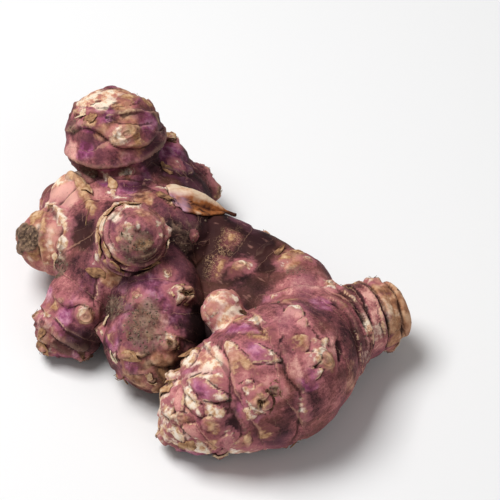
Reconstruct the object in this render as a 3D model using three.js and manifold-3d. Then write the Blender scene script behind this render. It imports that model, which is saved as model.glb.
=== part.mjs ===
// Jerusalem artichoke: one branched tuber, lying as lifted and washed.
// Millimetres, +Z up, origin on the resting plane under the middle of the tuber.
//
// The tuber is a stout main body with a ringed neck, joined by a thick bridge to a cluster of
// knobs. Each knob is a turned form bent along a spine, with a swelling at every node and a
// bud, or eye, on either side of it. The knobs grow into one solid, and the lowest ones are
// flat where they rest.

import * as THREE from 'three';
import { mergeVertices } from 'three/addons/utils/BufferGeometryUtils.js';
import Module from 'manifold-3d';

const wasm = await Module();
wasm.setup();

// ---------------------------------------------------------------- driving dimensions

const LENGTH = 132;            // across the whole tuber, from the neck's end to the western knob
const MAIN_RADIUS = 21;        // main body at its widest
const CROWN_RADIUS = 16;       // the raised round knob at the back
const HEEL_RADIUS = 16.2;      // the large knob beside the main body
const NODE_RELIEF = 0.07;      // a node's swelling, as a share of the knob's radius
const SHORT_RISE = [0.05, 0.8];        // corners of a swelling between two near nodes
const LONG_RISE = [0.05, 0.42, 0.8];   // and between two that are further apart
const LONG_NODE_GAP = 8;       // which is this far or more
const CAP_STEPS = 4;           // corners on a knob's rounded end
const STATION_STEP = 6;        // distance between corners on a knob with no nodes
const LEAST_STEP = 0.5;        // corners nearer than this are one
const FRAME_STEPS = 24;        // turned sections that carry a knob round its spine
const EYE_RADIUS = 3.4;        // a bud's half width
const EYE_RISE = 0.5;          // its height, as a share of that
const EYE_SIDES = 8;
const EYE_RINGS = 6;
const GROUND_DEPTH = 20;       // the block of ground that trims the resting faces
const GROUND_MARGIN = 40;

const SKIN = { color: 0x8e5f66, roughness: 0.72, metalness: 0 };

// A knob's spine runs from its root to its growing tip: x, y, z and the radius there.
// nodes are distances along the spine, eyes the turn of the first pair of buds about it.
const KNOBS = {
  main: {
    facets: 26,
    spine: [
      [57, -11, 16.5, 8.5], [50, -14.5, 17, 11.5], [41.5, -19.5, 18, 13], [32, -29.5, 19.5, 17],
      [22, -38.5, 20.5, MAIN_RADIUS], [11, -43.5, 19, 19], [-3, -48.5, 12.5, 13],
    ],
    nodes: [-4, 1, 6, 11.5, 17.5, 24, 34, 46, 57, 66, 73, 79, 84],
    eyes: { first: 6, turn: 20, radius: 4.2 },
  },
  shoulder: { facets: 15, spine: [[28.5, -18, 17, 15], [27, 1, 12.2, 12.5]], nodes: [4, 14, 22] },
  bridge: {
    facets: 16,
    spine: [[-7.5, 18.5, 16, 13], [4.5, 14, 14, 12.5], [16.5, 7, 13.5, 12], [25.5, -1, 13.5, 12]],
    nodes: [4, 18, 31],
    eyes: { first: 1, turn: 80, radius: 3 },
  },
  web: { facets: 15, spine: [[-5, -9, 10.5, 10.8], [2, 3, 12, 12], [15, -8, 14, 13.5]] },
  webFront: { facets: 14, spine: [[2, 0, 11, 11], [5, -17, 11.8, 11.5]] },
  sideBud: {
    facets: 16,
    spine: [[14.5, -33, 24, 11.5], [8, -28, 29, 8], [3.5, -23, 33, 6]],
    nodes: [6, 12, 16],
  },
  crown: {
    facets: 20,
    squash: 0.82,
    spine: [[-31.5, 44.5, 33.5, 15], [-33, 48, 39.5, CROWN_RADIUS]],
    nodes: [-8, 0, 7, 13],
    eyes: { first: 1, turn: 60, radius: 3.6 },
  },
  collar: { facets: 15, spine: [[-29, 32, 20, 14], [-29, 41.5, 24, 11.5]], nodes: [2, 10] },
  rear: { facets: 15, spine: [[-29, 37, 14.5, 15], [-33.5, 43.5, 13.2, 13.8]], nodes: [3, 12] },
  east: { facets: 15, spine: [[-21, 39, 19, 14], [-16.5, 49.5, 22, 8.2]], nodes: [6, 14] },
  eastLow: { facets: 15, spine: [[-15.5, 34, 15, 14], [-8.5, 44.5, 13, 9]], nodes: [6, 14] },
  northWest: { facets: 15, spine: [[-37, 19, 22, 13], [-45, 28.5, 27, 8.5]], nodes: [6, 13] },
  westLow: { facets: 15, spine: [[-43.5, 31, 14, 13.5], [-51.5, 41.5, 10.5, 7]], nodes: [5, 13] },
  west: {
    facets: 16,
    spine: [[-41.5, 14.5, 20, 12.5], [-55, 18, 19, 11]],
    nodes: [4, 12, 19],
    eyes: { first: 1, turn: 35, radius: 3.2 },
  },
  hub: { facets: 20, spine: [[-31, 26, 20, 15.5], [-30, 8, 22, 17.5]], nodes: [8, 22] },
  base: { facets: 15, spine: [[-33, 28, 15, 15.2], [-32, 4, 14.8, 15]] },
  hubEast: { facets: 15, spine: [[-29, 10, 21, 16.5], [-18.5, 16, 20, 17]], nodes: [7, 18] },
  button: { facets: 15, spine: [[-28, 4, 30, 11.5], [-24.5, -1.5, 42, 10.5]], nodes: [5, 12, 18] },
  mottled: { facets: 15, spine: [[-13, 13, 19.5, 12.8], [-11.5, 16, 28, 9.2]], nodes: [3, 10] },
  toeRoot: { facets: 15, spine: [[-30, 6, 20, 15.5], [-41.5, -6, 15.5, 12.5]], nodes: [8, 16] },
  toe: {
    facets: 16,
    spine: [[-41.5, -6, 14.5, 11.5], [-45.5, -11, 10.2, 11]],
    nodes: [-2, 4, 10, 15],
    eyes: { first: 1, turn: 100, radius: 3.2 },
  },
  heel: {
    facets: 20,
    spine: [[-17.5, -6.5, 23, 14], [-17.5, -21.5, 15.7, HEEL_RADIUS]],
    nodes: [-2, 6, 14, 22, 28],
    eyes: { first: 1, turn: 40, radius: 3.4 },
  },
};

// ---------------------------------------------------------------- solids

/** A closed triangle mesh as a solid: position only, shared corners merged, no empty faces. */
function solidOf(geometry) {
  const bare = geometry.clone();
  bare.deleteAttribute('normal');
  bare.deleteAttribute('uv');
  const merged = mergeVertices(bare, 1e-4);
  const corners = merged.index.array;
  const faces = [];
  for (let i = 0; i < corners.length; i += 3) {
    const [a, b, c] = corners.slice(i, i + 3);
    if (a !== b && b !== c && c !== a) faces.push(a, b, c);
  }
  return new wasm.Manifold(new wasm.Mesh({
    numProp: 3,
    vertProperties: new Float32Array(merged.attributes.position.array),
    triVerts: new Uint32Array(faces),
  }));
}

/** The solid's triangles as a three.js geometry. */
function geometryOf(solid) {
  const mesh = solid.getMesh();
  const geometry = new THREE.BufferGeometry();
  geometry.setAttribute('position', new THREE.BufferAttribute(mesh.vertProperties, 3));
  geometry.setIndex(new THREE.BufferAttribute(mesh.triVerts, 1));
  geometry.computeVertexNormals();
  return geometry;
}

// ---------------------------------------------------------------- knobs

/** A node's swelling: between two nodes the skin rises slowly and steps down at the next one. */
function swelling(distance, nodes) {
  const next = nodes.findIndex((node) => node > distance);
  if (next < 1) return 0;
  const phase = (distance - nodes[next - 1]) / (nodes[next] - nodes[next - 1]);
  const rise = THREE.MathUtils.smoothstep(phase, 0, 0.7);
  const step = THREE.MathUtils.smoothstep(phase, 0.8, 1);
  return rise - step - 0.5;
}

/** A knob's spine: its smooth curve, its length, its sections, and the radius along it. */
function spineOf(points) {
  const curve = new THREE.CatmullRomCurve3(points.map(([x, y, z]) => new THREE.Vector3(x, y, z)));
  const radii = new THREE.SplineCurve(points.map(([, , , radius], i) => new THREE.Vector2(i, radius)));
  return {
    curve,
    length: curve.getLength(),
    frames: curve.computeFrenetFrames(FRAME_STEPS, false),
    radiusAt: (share) => radii.getPoint(THREE.MathUtils.clamp(share, 0, 1)).y,
  };
}

/** The point at this distance along the spine, and out from it by across and over. */
function pointAt(spine, along, across, over) {
  const share = THREE.MathUtils.clamp(along / spine.length, 0, 1);
  const section = Math.round(share * FRAME_STEPS);
  return spine.curve.getPointAt(share)
    .addScaledVector(spine.frames.tangents[section], along - share * spine.length)
    .addScaledVector(spine.frames.normals[section], across)
    .addScaledVector(spine.frames.binormals[section], -over);
}

/** A knob's radius at this distance along it: rounded past either end of the spine. */
function radiusAlong({ length, radiusAt }, along, squash) {
  const past = Math.max(-along, along - length, 0);
  const radius = radiusAt(along / length);
  return radius * Math.sqrt(Math.max(0, 1 - (past / (radius * squash)) ** 2));
}

/** Distances along a knob at which its outline has a corner, from one pole to the other. */
function stationsOf({ length, radiusAt }, nodes, squash) {
  const root = radiusAt(0) * squash;
  const tip = radiusAt(1) * squash;
  const cap = Array.from({ length: CAP_STEPS }, (_, i) => Math.cos((i / CAP_STEPS) * (Math.PI / 2)));
  const steps = Math.max(1, Math.round(length / STATION_STEP));
  const plain = Array.from({ length: steps + 1 }, (_, i) => (i / steps) * length);
  const between = nodes.slice(1).flatMap((node, i) => {
    const gap = node - nodes[i];
    return (gap < LONG_NODE_GAP ? SHORT_RISE : LONG_RISE).map((share) => nodes[i] + share * gap);
  });
  const body = nodes.length ? between : plain;
  const all = [...cap.map((c) => -root * c), ...body, ...cap.map((c) => length + tip * c)];
  const kept = [];
  all.filter((along) => along >= -root && along <= length + tip)
    .sort((a, b) => a - b)
    .forEach((along) => {
      const near = kept.length && along - kept.at(-1) < LEAST_STEP;
      if (!near) kept.push(along);
      else if (along === length + tip) kept[kept.length - 1] = along;
    });
  return kept;
}

/** Half outline of a knob, on its axis at both ends. */
function outlineOf(spine, nodes, squash) {
  return stationsOf(spine, nodes, squash).map((along) => {
    const relief = 1 + NODE_RELIEF * swelling(along, nodes);
    return new THREE.Vector2(radiusAlong(spine, along, squash) * relief, along);
  });
}

/** A knob's flesh: the outline turned about the axis, then bent along the spine. */
function fleshOf(spine, { nodes = [], facets, squash = 1 }) {
  const turned = new THREE.LatheGeometry(outlineOf(spine, nodes, squash), facets);
  const place = turned.attributes.position;
  for (let i = 0; i < place.count; i += 1) {
    const point = pointAt(spine, place.getY(i), place.getX(i), place.getZ(i));
    place.setXYZ(i, point.x, point.y, point.z);
  }
  return solidOf(turned);
}

/** The knob's eyes: low round buds in opposite pairs, each pair a quarter turn from the last. */
function eyesOf(spine, { nodes, eyes }) {
  const pairs = nodes.filter((node, i) => i >= eyes.first && node < spine.length);
  return pairs.flatMap((node, pair) => [0, 180].map((side) => {
    const angle = THREE.MathUtils.degToRad(eyes.turn + side + 90 * pair);
    const radius = spine.radiusAt(node / spine.length);
    const seat = pointAt(spine, node, radius * Math.cos(angle), radius * Math.sin(angle));
    const outward = seat.clone().sub(pointAt(spine, node, 0, 0)).normalize();
    const bud = new THREE.SphereGeometry(eyes.radius ?? EYE_RADIUS, EYE_SIDES, EYE_RINGS);
    bud.scale(1, EYE_RISE, 1);
    const lean = new THREE.Quaternion().setFromUnitVectors(new THREE.Vector3(0, 1, 0), outward);
    bud.applyQuaternion(lean);
    bud.translate(seat.x, seat.y, seat.z);
    return solidOf(bud);
  }));
}

/** One knob with its eyes, as solids that overlap. */
function knob(sizes) {
  const spine = spineOf(sizes.spine);
  const flesh = fleshOf(spine, sizes);
  return sizes.eyes ? [flesh, ...eyesOf(spine, sizes)] : [flesh];
}

// ---------------------------------------------------------------- the tuber

/** The block of ground that trims the lowest knobs to real resting faces. */
function ground() {
  const width = LENGTH + 2 * GROUND_MARGIN;
  const block = new THREE.BoxGeometry(width, width, GROUND_DEPTH);
  block.translate(0, 0, -GROUND_DEPTH / 2);
  return solidOf(block);
}

/** The whole tuber: every knob grown into one solid and trimmed by the ground. */
function tuber() {
  const grown = Object.values(KNOBS).flatMap(knob).reduce((whole, next) => whole.add(next));
  const mesh = new THREE.Mesh(
    geometryOf(grown.subtract(ground())),
    new THREE.MeshStandardMaterial(SKIN),
  );
  mesh.name = 'tuber';
  return mesh;
}

const artichoke = new THREE.Group();
artichoke.add(tuber());

export default artichoke;
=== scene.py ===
"""Jerusalem artichoke: the skin, scale leaves, rootlets and soil of one branched tuber.

Lengths are in millimetres and turns in degrees, unless a docstring says otherwise; the scene
itself is in metres.
"""

import logging
import math
from dataclasses import dataclass
from enum import Enum

import bpy
import numpy as np
from bpy.types import Material, Mesh, Node, NodeSocket, NodeTree, Object, bpy_prop_collection
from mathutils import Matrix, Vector
from mathutils.bvhtree import BVHTree


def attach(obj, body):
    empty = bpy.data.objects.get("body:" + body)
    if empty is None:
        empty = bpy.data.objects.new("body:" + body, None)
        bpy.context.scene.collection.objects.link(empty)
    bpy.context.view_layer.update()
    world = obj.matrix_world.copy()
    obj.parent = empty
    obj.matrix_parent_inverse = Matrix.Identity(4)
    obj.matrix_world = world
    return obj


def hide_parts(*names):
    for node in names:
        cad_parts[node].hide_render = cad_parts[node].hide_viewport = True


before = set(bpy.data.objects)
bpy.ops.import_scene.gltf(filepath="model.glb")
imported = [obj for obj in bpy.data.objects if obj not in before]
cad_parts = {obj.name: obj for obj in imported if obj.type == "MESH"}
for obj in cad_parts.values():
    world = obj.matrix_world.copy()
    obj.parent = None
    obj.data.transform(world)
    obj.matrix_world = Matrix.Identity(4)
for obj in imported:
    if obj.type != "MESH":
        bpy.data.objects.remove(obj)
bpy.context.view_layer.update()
LOG = logging.getLogger("artichoke")

Array = np.ndarray
Dice = np.random.Generator
Sockets = dict[str, NodeSocket]

MM = 0.001
BODY = "root"
NODE = "tuber"
SEED = 7


# ------------------------------------------------------------------ the knobs' shapes

@dataclass(frozen=True)
class Knob:
    """One knob of the tuber, as a row of spheres along a spine.

    Attributes:
        spine: x, y, z and radius, from the knob's root to its growing tip.
        squash: height of its growing end as a share of its radius.
        root_end: height of its root's end as a share of its radius.
        origin: where on the spine the distances along the skin are counted from.
        nodes: where the scale leaves' rings lie, measured along the skin from the root sphere.
        turn: turn of the first pair of buds about the spine.
        blend: width over which its skin runs into its neighbours'.
        pink: how pink its skin is, from 0, brown, to 1.
        tawny: how tan its skin is, from 0 to 1.
        relief: how far the lips of its leaf scars stand out.
    """

    spine: tuple[tuple[float, float, float, float], ...]
    squash: float = 1.0
    root_end: float = 1.0
    origin: float = 0.0
    nodes: tuple[float, ...] = ()
    turn: float = 0.0
    blend: float = 3.0
    pink: float = 0.5
    tawny: float = 0.0
    relief: float = 0.5


KNOBS: dict[str, Knob] = {
    "main": Knob(((59.8, -9.7, 16.3, 8.9), (55, -12, 16.6, 10.2), (49, -14.8, 17, 11.7),
                  (41.5, -19.5, 18, 13), (32, -29.5, 19.5, 17), (22, -38.5, 20.5, 21),
                  (11, -43.5, 19, 19), (-3, -48.5, 12.5, 13)),
                 root_end=0.3, origin=3.0, nodes=(-1.2, 5.6, 12.8, 18, 25, 36, 49, 60, 72, 82), turn=45,
                 pink=0.55, relief=0.35),
    "shoulder": Knob(((28.5, -18, 17, 15), (27, 1, 12.2, 12.5)), nodes=(4, 14, 22), pink=0.6, relief=0.3),
    "bridge": Knob(((-7.5, 18.5, 16, 13), (4.5, 14, 14, 12.5), (16.5, 7, 13.5, 12), (25.5, -1, 13.5, 12)),
                   nodes=(4, 18, 31), pink=0.06, relief=0.3),
    "web": Knob(((-5, -9, 10.5, 10.8), (2, 3, 12, 12), (15, -8, 14, 13.5)), pink=0.15),
    "web_front": Knob(((2, 0, 11, 11), (5, -17, 11.8, 11.5)), pink=0.2),
    "side_bud": Knob(((14.5, -33, 24, 11.5), (9.3, -29.3, 28, 6.9), (6.3, -26.4, 30.9, 6.0),
                      (3.9, -23.6, 32.7, 6.9)),
                     blend=1.2, pink=0.85),
    "crown": Knob(((-32, 44.4, 33, 13.3), (-33, 46.8, 37.8, 15.3), (-33.3, 51, 41, 12)), squash=0.92,
                  nodes=(0, 5.5, 12.3, 17), turn=30, blend=1.4, pink=0.45, relief=0.3),
    "crown_shoulder": Knob(((-26, 50, 35, 9), (-25, 52, 40.5, 6.2)), blend=2.5, pink=0.4),
    "collar": Knob(((-29, 32, 20, 14), (-29, 41.5, 24, 11.5)), nodes=(2, 10), pink=0.4),
    "rear": Knob(((-29, 37, 14.5, 15), (-33.5, 43.5, 13.2, 13.8)), nodes=(3, 12), pink=0.4),
    "east": Knob(((-21, 39, 19, 14), (-16.5, 49.5, 22, 8.2)), nodes=(4, 12, 18), pink=0.3),
    "east_low": Knob(((-15.5, 34, 15, 14), (-8.5, 44.5, 13, 9)), nodes=(6, 14, 20), pink=0.25),
    "north_west": Knob(((-37, 19, 22, 13), (-45, 28.5, 27, 8.5)), nodes=(6, 13), pink=0.8),
    "west_low": Knob(((-43.5, 31, 14, 13.5), (-51.5, 41.5, 10.5, 7)), nodes=(5, 13), pink=0.35),
    "west": Knob(((-41.5, 14.5, 20, 12.5), (-53, 17.5, 18.5, 10.8)), nodes=(4, 12), pink=0.8, tawny=0.4),
    "west_end": Knob(((-53.5, 16.5, 19.5, 7.5), (-57.8, 16.5, 20, 6.0)), blend=1.0, pink=0.3, tawny=0.6),
    "hub": Knob(((-31, 26, 20, 15.5), (-30, 8, 22, 17.5)), nodes=(8, 22), pink=0.55, relief=0.2),
    "base": Knob(((-33, 28, 15, 15.2), (-32, 4, 14.8, 15)), pink=0.4),
    "hub_east": Knob(((-29, 10, 21, 16.5), (-18.5, 16, 20, 17)), nodes=(7, 18), pink=0.3),
    "button": Knob(((-28, 4, 30, 11.5), (-24.5, -1.5, 42, 10.5)), nodes=(9, 14.5, 19.5, 24), turn=20,
                   blend=1.3, pink=0.45, relief=0.3),
    "mottled": Knob(((-13, 13, 19.5, 12.8), (-11, 14, 26.3, 8.4)), nodes=(3, 10, 15), pink=0.15, tawny=0.15),
    "toe_root": Knob(((-30, 6, 20, 15.5), (-41.5, -6, 15.5, 12.5)), nodes=(8, 16), pink=0.6, relief=0.2),
    "toe": Knob(((-41.5, -6, 14.5, 11.5), (-45.5, -11, 10.2, 11)), nodes=(8.5, 14, 18), turn=45,
                blend=2.0, pink=0.45, relief=0.3),
    "heel": Knob(((-17.5, -6.5, 23, 14), (-17.5, -21.5, 15.7, 16.2)), nodes=(1, 10, 20, 27), blend=1.4,
                 pink=0.3, relief=0.2),
}


def unit(vectors: Array) -> Array:
    """One vector, or one per row, at a length of 1."""
    size = np.linalg.norm(vectors) if vectors.ndim == 1 else np.linalg.norm(vectors, axis=1)[:, None]
    return vectors / size


class Spine:
    """A knob's spine cut into short straight stretches, with a section frame at each end of them."""

    STRETCHES = 6
    SETTLING = 8
    FAR = 1e9
    TINY = 1e-9
    STEEP = 0.8
    AT_END = 0.01
    THINNEST = 0.05

    def __init__(self, knob: Knob) -> None:
        """Cuts the spine.

        Args:
            knob: the knob's sizes.
        """
        self.knob = knob
        points = self.curve(np.array(knob.spine, float))
        self.points, self.radii = points[:, :3], points[:, 3]
        steps = np.diff(self.points, axis=0)
        self.lengths = np.linalg.norm(steps, axis=1)
        self.tangents = steps / self.lengths[:, None]
        self.starts = np.concatenate([[0.0], np.cumsum(self.lengths)])
        self.length = float(self.starts[-1])
        first, last = self.tangents[:1], self.tangents[-1:]
        self.ahead = unit(np.vstack([first, self.tangents[:-1] + self.tangents[1:], last]))
        up = np.array([0.0, 0.0, 1.0] if abs(self.tangents[-1][2]) < self.STEEP else [0.0, -1.0, 0.0])
        self.over = unit(up - (self.ahead @ up)[:, None] * self.ahead)
        self.reach = self.length / 2 + float(self.radii.max()) * 1.5
        self.middle = (self.points[0] + self.points[-1]) / 2

    @classmethod
    def curve(cls, points: Array) -> Array:
        """A Catmull-Rom curve through the points; a straight pair stays as it is.

        Args:
            points: x, y, z and radius, one point per row.

        Returns:
            The same for each point of the curve.
        """
        if len(points) == 2:
            return points
        ends = np.vstack([2 * points[0] - points[1], points, 2 * points[-1] - points[-2]])
        out = [0.5 * (2 * b + (c - a) * t + (2 * a - 5 * b + 4 * c - d) * t * t
                      + (3 * b - a - 3 * c + d) * t ** 3)
               for a, b, c, d in zip(ends, ends[1:], ends[2:], ends[3:])
               for t in np.linspace(0, 1, cls.STRETCHES, endpoint=False)]
        return np.array([*out, points[-1]])

    def close(self, places: Array, reach: float) -> Array:
        """Which points may lie within reach of the knob."""
        return np.linalg.norm(places - self.middle, axis=1) < self.reach + reach

    def nearest(self, places: Array) -> tuple[Array, Array, Array]:
        """How points lie by the stretch whose skin is nearest, as if the knob had round ends.

        Args:
            places: points, one per row.

        Returns:
            Signed distances from that skin, their gradients, and distances along the spine.
        """
        best = np.full(len(places), self.FAR)
        slope, place = np.zeros_like(places), np.zeros(len(places))
        for i, (tangent, length) in enumerate(zip(self.tangents, self.lengths)):
            offset = places - self.points[i]
            share = np.clip(offset @ tangent / length, 0, 1)
            out = offset - (share * length)[:, None] * tangent
            size = np.linalg.norm(out, axis=1) + self.TINY
            widen = self.radii[i + 1] - self.radii[i]
            gap = size - (self.radii[i] + share * widen)
            lean = np.where((share > 0) & (share < 1), widen / length, 0.0)
            closer = gap < best
            best[closer] = gap[closer]
            slope[closer] = (out / size[:, None] - lean[:, None] * tangent)[closer]
            place[closer] = (self.starts[i] + share * length)[closer]
        return best, slope, place

    def distance(self, places: Array) -> tuple[Array, Array]:
        """Distance from the knob's own skin, and its direction of growth.

        Args:
            places: points, one per row.

        Returns:
            The signed distances and the unit gradients.
        """
        near, flattened = places, []
        for point, axis, share in ((self.points[-1], self.tangents[-1], self.knob.squash),
                                   (self.points[0], -self.tangents[0], self.knob.root_end)):
            if share != 1.0:
                lift = np.maximum((places - point) @ axis, 0)
                near = near + (1 / share - 1) * lift[:, None] * axis
                flattened.append((axis, (1 / share - 1) * (lift > 0)))
        best, slope, _ = self.nearest(near)
        for axis, more in flattened:
            slope = slope + (more * (slope @ axis))[:, None] * axis
        steep = np.linalg.norm(slope, axis=1) + self.TINY
        return best / steep, slope / steep[:, None]

    def section(self, place: Array) -> tuple[Array, Array, Array, Array]:
        """The knob's cross-sections at these places along the spine.

        Args:
            place: distances along the spine.

        Returns:
            Centres, directions of growth, directions from which the turn is counted, and radii.
        """
        columns = np.column_stack([self.points, self.ahead, self.over, self.radii])
        held = np.column_stack([np.interp(place, self.starts, column) for column in columns.T])
        ahead = unit(held[:, 3:6])
        over = unit(held[:, 6:9] - np.sum(held[:, 6:9] * ahead, axis=1)[:, None] * ahead)
        return held[:, :3], ahead, over, held[:, 9]

    def stations(self, places: Array) -> tuple[Array, Array, Array]:
        """Where points lie on the knob.

        Args:
            places: points, one per row.

        Returns:
            Distance along the skin from the root sphere's girth, turn about the spine in radians,
            and distance from the spine's line.
        """
        _, _, place = self.nearest(places)
        for _ in range(self.SETTLING):
            centre, ahead, _, _ = self.section(place)
            place = np.clip(place + 0.5 * np.sum((places - centre) * ahead, axis=1), 0, self.length)
        centre, ahead, over, radius = self.section(place)
        offset = places - centre
        run = np.sum(offset * ahead, axis=1)
        out = offset - run[:, None] * ahead
        around = np.linalg.norm(out, axis=1)
        turn = np.arctan2(np.sum(out * np.cross(ahead, over), axis=1), np.sum(out * over, axis=1))
        past = np.where(place > self.length - self.AT_END, np.maximum(run, 0), 0.0)
        short = np.where(place < self.AT_END, np.maximum(-run, 0), 0.0) / self.knob.root_end
        along = place - self.knob.origin + radius * (np.arctan2(past, around) - np.arctan2(short, around))
        return along, turn, np.maximum(around, self.THINNEST)

    def spot(self, along: float, degrees: float) -> tuple[Array, Array]:
        """A point on the knob's own skin and the direction out of it there.

        Args:
            along: distance along the skin from the root sphere's girth.
            degrees: turn about the spine.

        Returns:
            The point and the unit direction.
        """
        angle = math.radians(degrees)
        along = along + self.knob.origin
        run = min(max(along, 0.0), self.length)
        centre, ahead, over, radius = (held[0] for held in self.section(np.array([run])))
        lift = (along - run) / radius
        side = math.cos(angle) * over + math.sin(angle) * np.cross(ahead, over)
        out = math.cos(lift) * side + math.sin(lift) * ahead
        reach = radius * out
        if lift > 0:
            reach = reach - (1 - self.knob.squash) * max(reach @ self.tangents[-1], 0) * self.tangents[-1]
        if lift < 0:
            reach = reach - (1 - self.knob.root_end) * min(reach @ self.tangents[0], 0) * self.tangents[0]
        return centre + reach, out


@dataclass(frozen=True)
class Spot:
    """A place on the skin, with its frame.

    Attributes:
        point: where it is.
        out: the way out of the skin.
        ahead: the way of growth along the skin.
        side: the way across, to the left of growth when seen from outside.
    """

    point: Array
    out: Array
    ahead: Array
    side: Array

    def headed(self, degrees: float) -> "Spot":
        """The same place, its frame turned to the left.

        Args:
            degrees: how far.

        Returns:
            The turned place.
        """
        angle = math.radians(degrees)
        ahead = math.cos(angle) * self.ahead + math.sin(angle) * self.side
        return Spot(self.point, self.out, ahead, np.cross(self.out, ahead))

    def local(self, places: Array) -> tuple[Array, Array, Array]:
        """How far points lie ahead of the place, to its side and outwards."""
        offset = places - self.point
        return offset @ self.ahead, offset @ self.side, offset @ self.out


class TuberForm:
    """All the knobs grown together: one smooth skin."""

    NEAR = 7.0
    FAR = 1e3
    SETTLING = 6

    def __init__(self, knobs: dict[str, Knob]) -> None:
        """Cuts the spine of every knob."""
        self.spines = {name: Spine(knob) for name, knob in knobs.items()}

    def skin(self, places: Array) -> tuple[Array, Array]:
        """Distance from the joined skin and its direction of growth.

        Args:
            places: points, one per row.

        Returns:
            The signed distances and the unit gradients.
        """
        whole = np.full(len(places), self.FAR)
        slope = np.zeros_like(places)
        slope[:, 2] = 1.0
        for spine in self.spines.values():
            close = spine.close(places, self.NEAR)
            if not close.any():
                continue
            gap, pull = spine.distance(places[close])
            held, held_slope = whole[close], slope[close]
            blend = spine.knob.blend
            share = np.clip(0.5 + 0.5 * (held - gap) / blend, 0, 1)
            whole[close] = held * (1 - share) + gap * share - blend * share * (1 - share)
            slope[close] = held_slope * (1 - share)[:, None] + pull * share[:, None]
        return whole, slope / (np.linalg.norm(slope, axis=1)[:, None] + Spine.TINY)

    def spot(self, name: str, along: float, degrees: float) -> Spot:
        """A place on the joined skin.

        Args:
            name: the knob it is counted on.
            along: distance along the knob's skin from its root sphere's girth.
            degrees: turn about the knob's spine.

        Returns:
            The place, with its frame.
        """
        spine = self.spines[name]
        place, _ = spine.spot(along, degrees)
        ahead = spine.spot(along + 1, degrees)[0] - spine.spot(along - 1, degrees)[0]
        return self.settled(place, ahead)

    def at(self, place: "Place") -> Spot:
        """The spot of a place that is given by its knob."""
        return self.spot(place.knob, place.along, place.turn)

    def settled(self, place: Array, ahead: Array) -> Spot:
        """The nearest place on the joined skin.

        Args:
            place: a point near the skin.
            ahead: the way in which the skin grows there.

        Returns:
            The place, with its frame.
        """
        points = place[None, :]
        for _ in range(self.SETTLING):
            gap, out = self.skin(points)
            points = points - gap[:, None] * out
        out = self.skin(points)[1][0]
        ahead = unit(ahead - (ahead @ out) * out)
        return Spot(points[0], out, ahead, np.cross(out, ahead))

    def gaps(self, places: Array) -> dict[str, Array]:
        """Distance of every point from every knob's own skin.

        Args:
            places: points, one per row.

        Returns:
            The distances by knob; far ones are only given as far.
        """
        out = {}
        for name, spine in self.spines.items():
            gap = np.full(len(places), self.FAR)
            close = spine.close(places, self.NEAR)
            if close.any():
                gap[close] = spine.distance(places[close])[0]
            out[name] = gap
        return out


# ------------------------------------------------------------------ making meshes

def deselect() -> None:
    """Leaves object mode with nothing selected."""
    if bpy.context.mode != "OBJECT":
        bpy.ops.object.mode_set(mode="OBJECT")
    bpy.ops.object.select_all(action="DESELECT")


def chosen(piece: Object) -> None:
    """Selects one object alone, and makes it the active one.

    Args:
        piece: the object.
    """
    deselect()
    piece.select_set(True)
    bpy.context.view_layer.objects.active = piece


def copy_of(blank: Object) -> Object:
    """Copies an object.

    Args:
        blank: the object.

    Returns:
        The copy, which has its own mesh.
    """
    piece = blank.copy()
    piece.data = blank.data.copy()
    bpy.context.collection.objects.link(piece)
    return piece


def numbers(items: bpy_prop_collection, name: str, width: int, kind: type = np.float32) -> Array:
    """One setting of all of a mesh's points, edges or marks.

    Args:
        items: the points, edges or marks.
        name: the setting.
        width: how many numbers it has.
        kind: their type.

    Returns:
        The numbers, one row for each item.
    """
    flat = np.empty(len(items) * width, kind)
    items.foreach_get(name, flat)
    return flat.reshape(-1, width)


def coordinates(mesh: Mesh) -> Array:
    """The mesh's points in millimetres, one per row."""
    return numbers(mesh.vertices, "co", 3).astype(float) / MM


def set_coordinates(mesh: Mesh, places: Array) -> None:
    """Moves the mesh's points to these places, in millimetres."""
    mesh.vertices.foreach_set("co", (places * MM).astype(np.float32).ravel())
    mesh.update()


def set_attribute(mesh: Mesh, name: str, values: Array) -> None:
    """Keeps one number per point on the mesh, for a material to read."""
    held = mesh.attributes.get(name) or mesh.attributes.new(name, "FLOAT", "POINT")
    held.data.foreach_set("value", values.astype(np.float32))


def joined(pieces: list[Object], name: str) -> Object:
    """One object of several, with its place in its mesh.

    Args:
        pieces: the objects to join.
        name: the joined object's name.

    Returns:
        The joined object.
    """
    chosen(pieces[0])
    for piece in pieces:
        piece.select_set(True)
    bpy.ops.object.join()
    bpy.ops.object.transform_apply(location=True, rotation=True, scale=True)
    whole = bpy.context.object
    whole.name = whole.data.name = name
    return whole


def dressed(piece: Object, finish: "Finish") -> Object:
    """Shades a piece smooth and gives it one finish.

    Args:
        piece: the piece.
        finish: its finish.

    Returns:
        The piece.
    """
    chosen(piece)
    bpy.ops.object.shade_smooth()
    piece.data.materials.clear()
    piece.data.materials.append(finish.build())
    return piece


def triangles(piece: Object) -> int:
    """How many triangles the piece's faces make."""
    return sum(len(face.vertices) - 2 for face in piece.data.polygons)


def ease(low: float, high: float, values: Array) -> Array:
    """A smooth rise from 0 at low to 1 at high."""
    share = np.clip((values - low) / (high - low), 0, 1)
    return share * share * (3 - 2 * share)


# Large primes that scatter a grid cell's number, for a height that looks drawn by chance.
PRIMES = np.array([73856093, 19349663, 83492791])
MIXERS = ((2654435761, 15), (2246822519, 13))


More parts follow.
